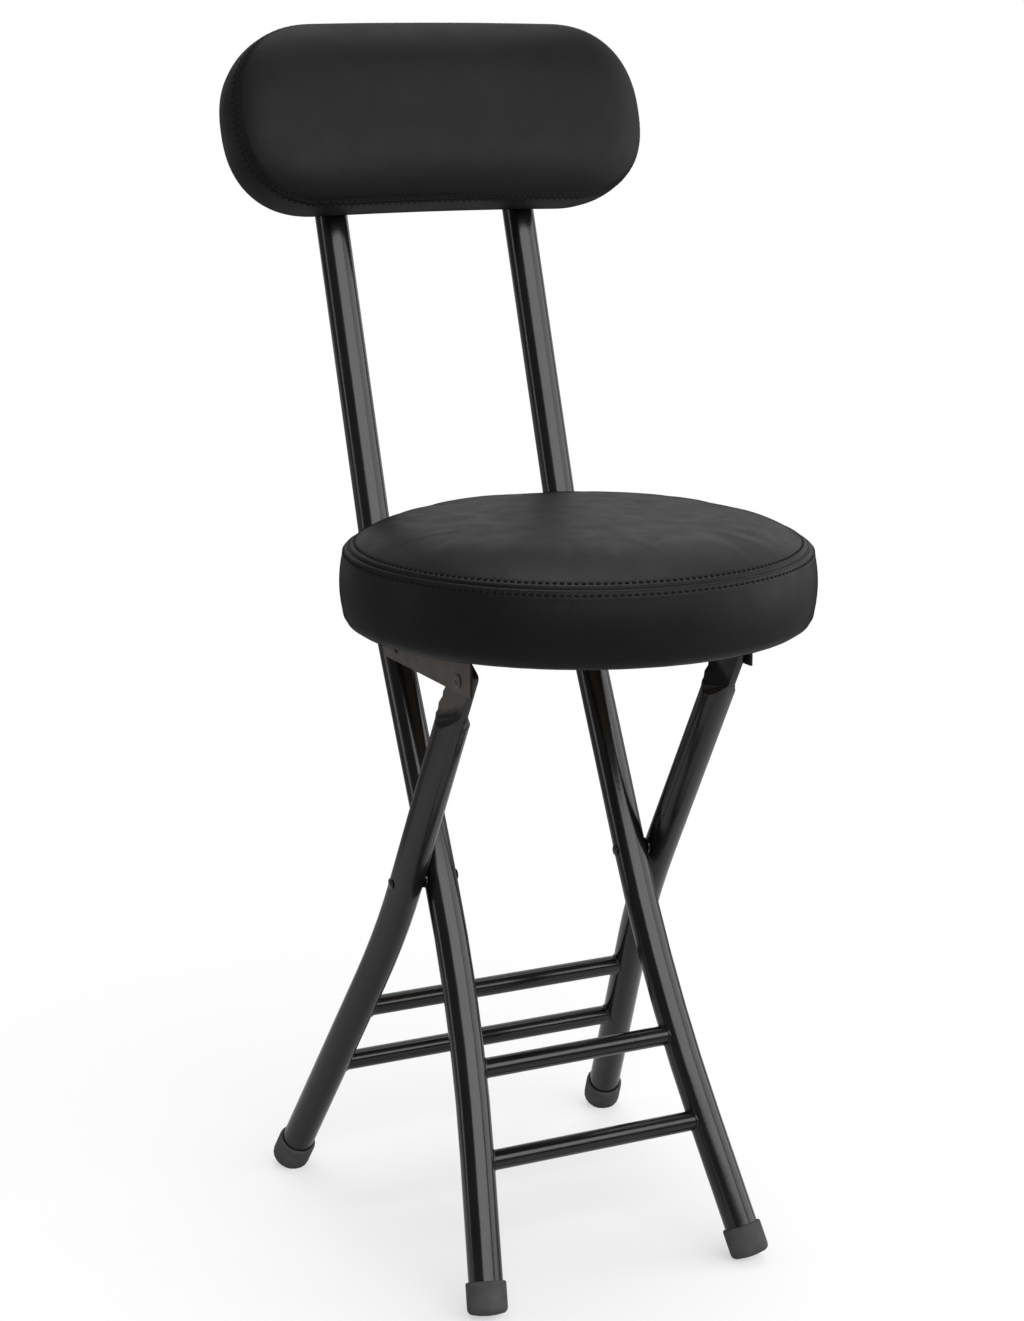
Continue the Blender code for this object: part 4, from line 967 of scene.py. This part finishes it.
def build_floor():
    """A pale round floor that keeps the shadow near the stool and fades into the white background."""
    bm = bmesh.new()
    bmesh.ops.create_circle(bm, cap_ends=True, segments=96, radius=FLOOR_RADIUS)
    mesh = bpy.data.meshes.new("floor")
    bm.to_mesh(mesh)
    bm.free()
    floor = bpy.data.objects.new("floor", mesh)
    floor.location.z = -FLOOR_DROP
    bpy.context.scene.collection.objects.link(floor)
    surface = bpy.data.materials.new("floor_paper")
    surface.use_nodes = True
    tree = surface.node_tree
    tree.nodes.clear()
    output = add_node(tree, "ShaderNodeOutputMaterial")
    camera_ray, other_ray = light_path(tree)
    distance = add_node(tree, "ShaderNodeVectorMath", operation="LENGTH")
    tree.links.new(add_node(tree, "ShaderNodeNewGeometry").outputs["Position"], distance.inputs[0])
    far = distance.outputs["Value"]

    # Paper: nearly white to the camera, and to all other rays grey, darker away from the stool
    tone = reckon(tree, "MAXIMUM", spread(tree, far, 0.62, 0.24, 0.35, 1.0),
                  spread(tree, camera_ray, 0, 0.93, 0, 1))
    paper = add_node(tree, "ShaderNodeBsdfDiffuse")
    tree.links.new(tone, paper.inputs["Color"])

    # White in the paper's place: for the camera nearly half of it at the stool and all of it from
    # 0.62 m on, in reflections half of it from 5 m on
    seen = reckon(tree, "MULTIPLY", spread(tree, far, 0.45, 1.0, 0.12, 0.62), camera_ray)
    mirrored = reckon(tree, "MULTIPLY", spread(tree, far, 0.0, 0.5, 2.0, 5.0), other_ray)
    share = reckon(tree, "MAXIMUM", seen, mirrored)
    white = plain_light(tree, "ShaderNodeEmission", 1.0)
    tree.links.new(mixed(tree, share, paper.outputs[0], white.outputs[0]), output.inputs["Surface"])
    mesh.materials.append(surface)


def build_world():
    """White for the camera, even as light, and in reflections a white wall behind on the right."""
    world = bpy.data.worlds.new("studio")
    bpy.context.scene.world = world
    world.use_nodes = True
    tree = world.node_tree
    tree.nodes.clear()
    output = add_node(tree, "ShaderNodeOutputWorld")
    camera_ray, other_ray = light_path(tree)
    way = add_node(tree, "ShaderNodeVectorMath", operation="DOT_PRODUCT")
    tree.links.new(add_node(tree, "ShaderNodeTexCoord").outputs["Generated"], way.inputs[0])
    way.inputs[1].default_value = WALL_WAY.normalized()
    wall = plain_light(tree, "ShaderNodeBackground", 0.5)
    tree.links.new(spread(tree, way.outputs["Value"], 0.14, 0.88, 0.55, 0.97), wall.inputs["Strength"])
    soft = plain_light(tree, "ShaderNodeBackground", 0.40)
    white = plain_light(tree, "ShaderNodeBackground", 1.0)
    around = mixed(tree, other_ray, soft.outputs[0], wall.outputs[0])
    tree.links.new(mixed(tree, camera_ray, around, white.outputs[0]), output.inputs["Surface"])


def build_lamp(name, place, target, size, power):
    """A soft rectangular lamp that points at a target."""
    data = bpy.data.lights.new(name, "AREA")
    data.shape = "RECTANGLE"
    data.size, data.size_y = size
    data.energy = power
    lamp = bpy.data.objects.new(name, data)
    lamp.location = place
    lamp.rotation_euler = (Vector(target) - Vector(place)).to_track_quat("-Z", "Y").to_euler()
    bpy.context.scene.collection.objects.link(lamp)


def build_camera():
    """The photograph's viewpoint, lens and framing."""
    data = bpy.data.cameras.new("camera")
    data.sensor_fit = "VERTICAL"
    data.sensor_height = SENSOR
    data.sensor_width = SENSOR
    data.lens = FOCAL_PIXELS * SENSOR / PHOTO_HEIGHT
    data.shift_x, data.shift_y = CAMERA_SHIFT
    camera = bpy.data.objects.new("camera", data)
    forward = CAMERA_FORWARD.normalized()
    right = (CAMERA_RIGHT - forward * CAMERA_RIGHT.dot(forward)).normalized()
    turn = Matrix((right, right.cross(forward), -forward)).transposed()
    camera.matrix_world = turn_place(turn, CAMERA_PLACE)
    bpy.context.scene.collection.objects.link(camera)
    bpy.context.scene.camera = camera


build_floor()
build_world()
for lamp in LAMPS:
    build_lamp(*lamp)
build_camera()
bpy.context.scene.view_settings.view_transform = "Standard"

bpy.context.view_layer.update()
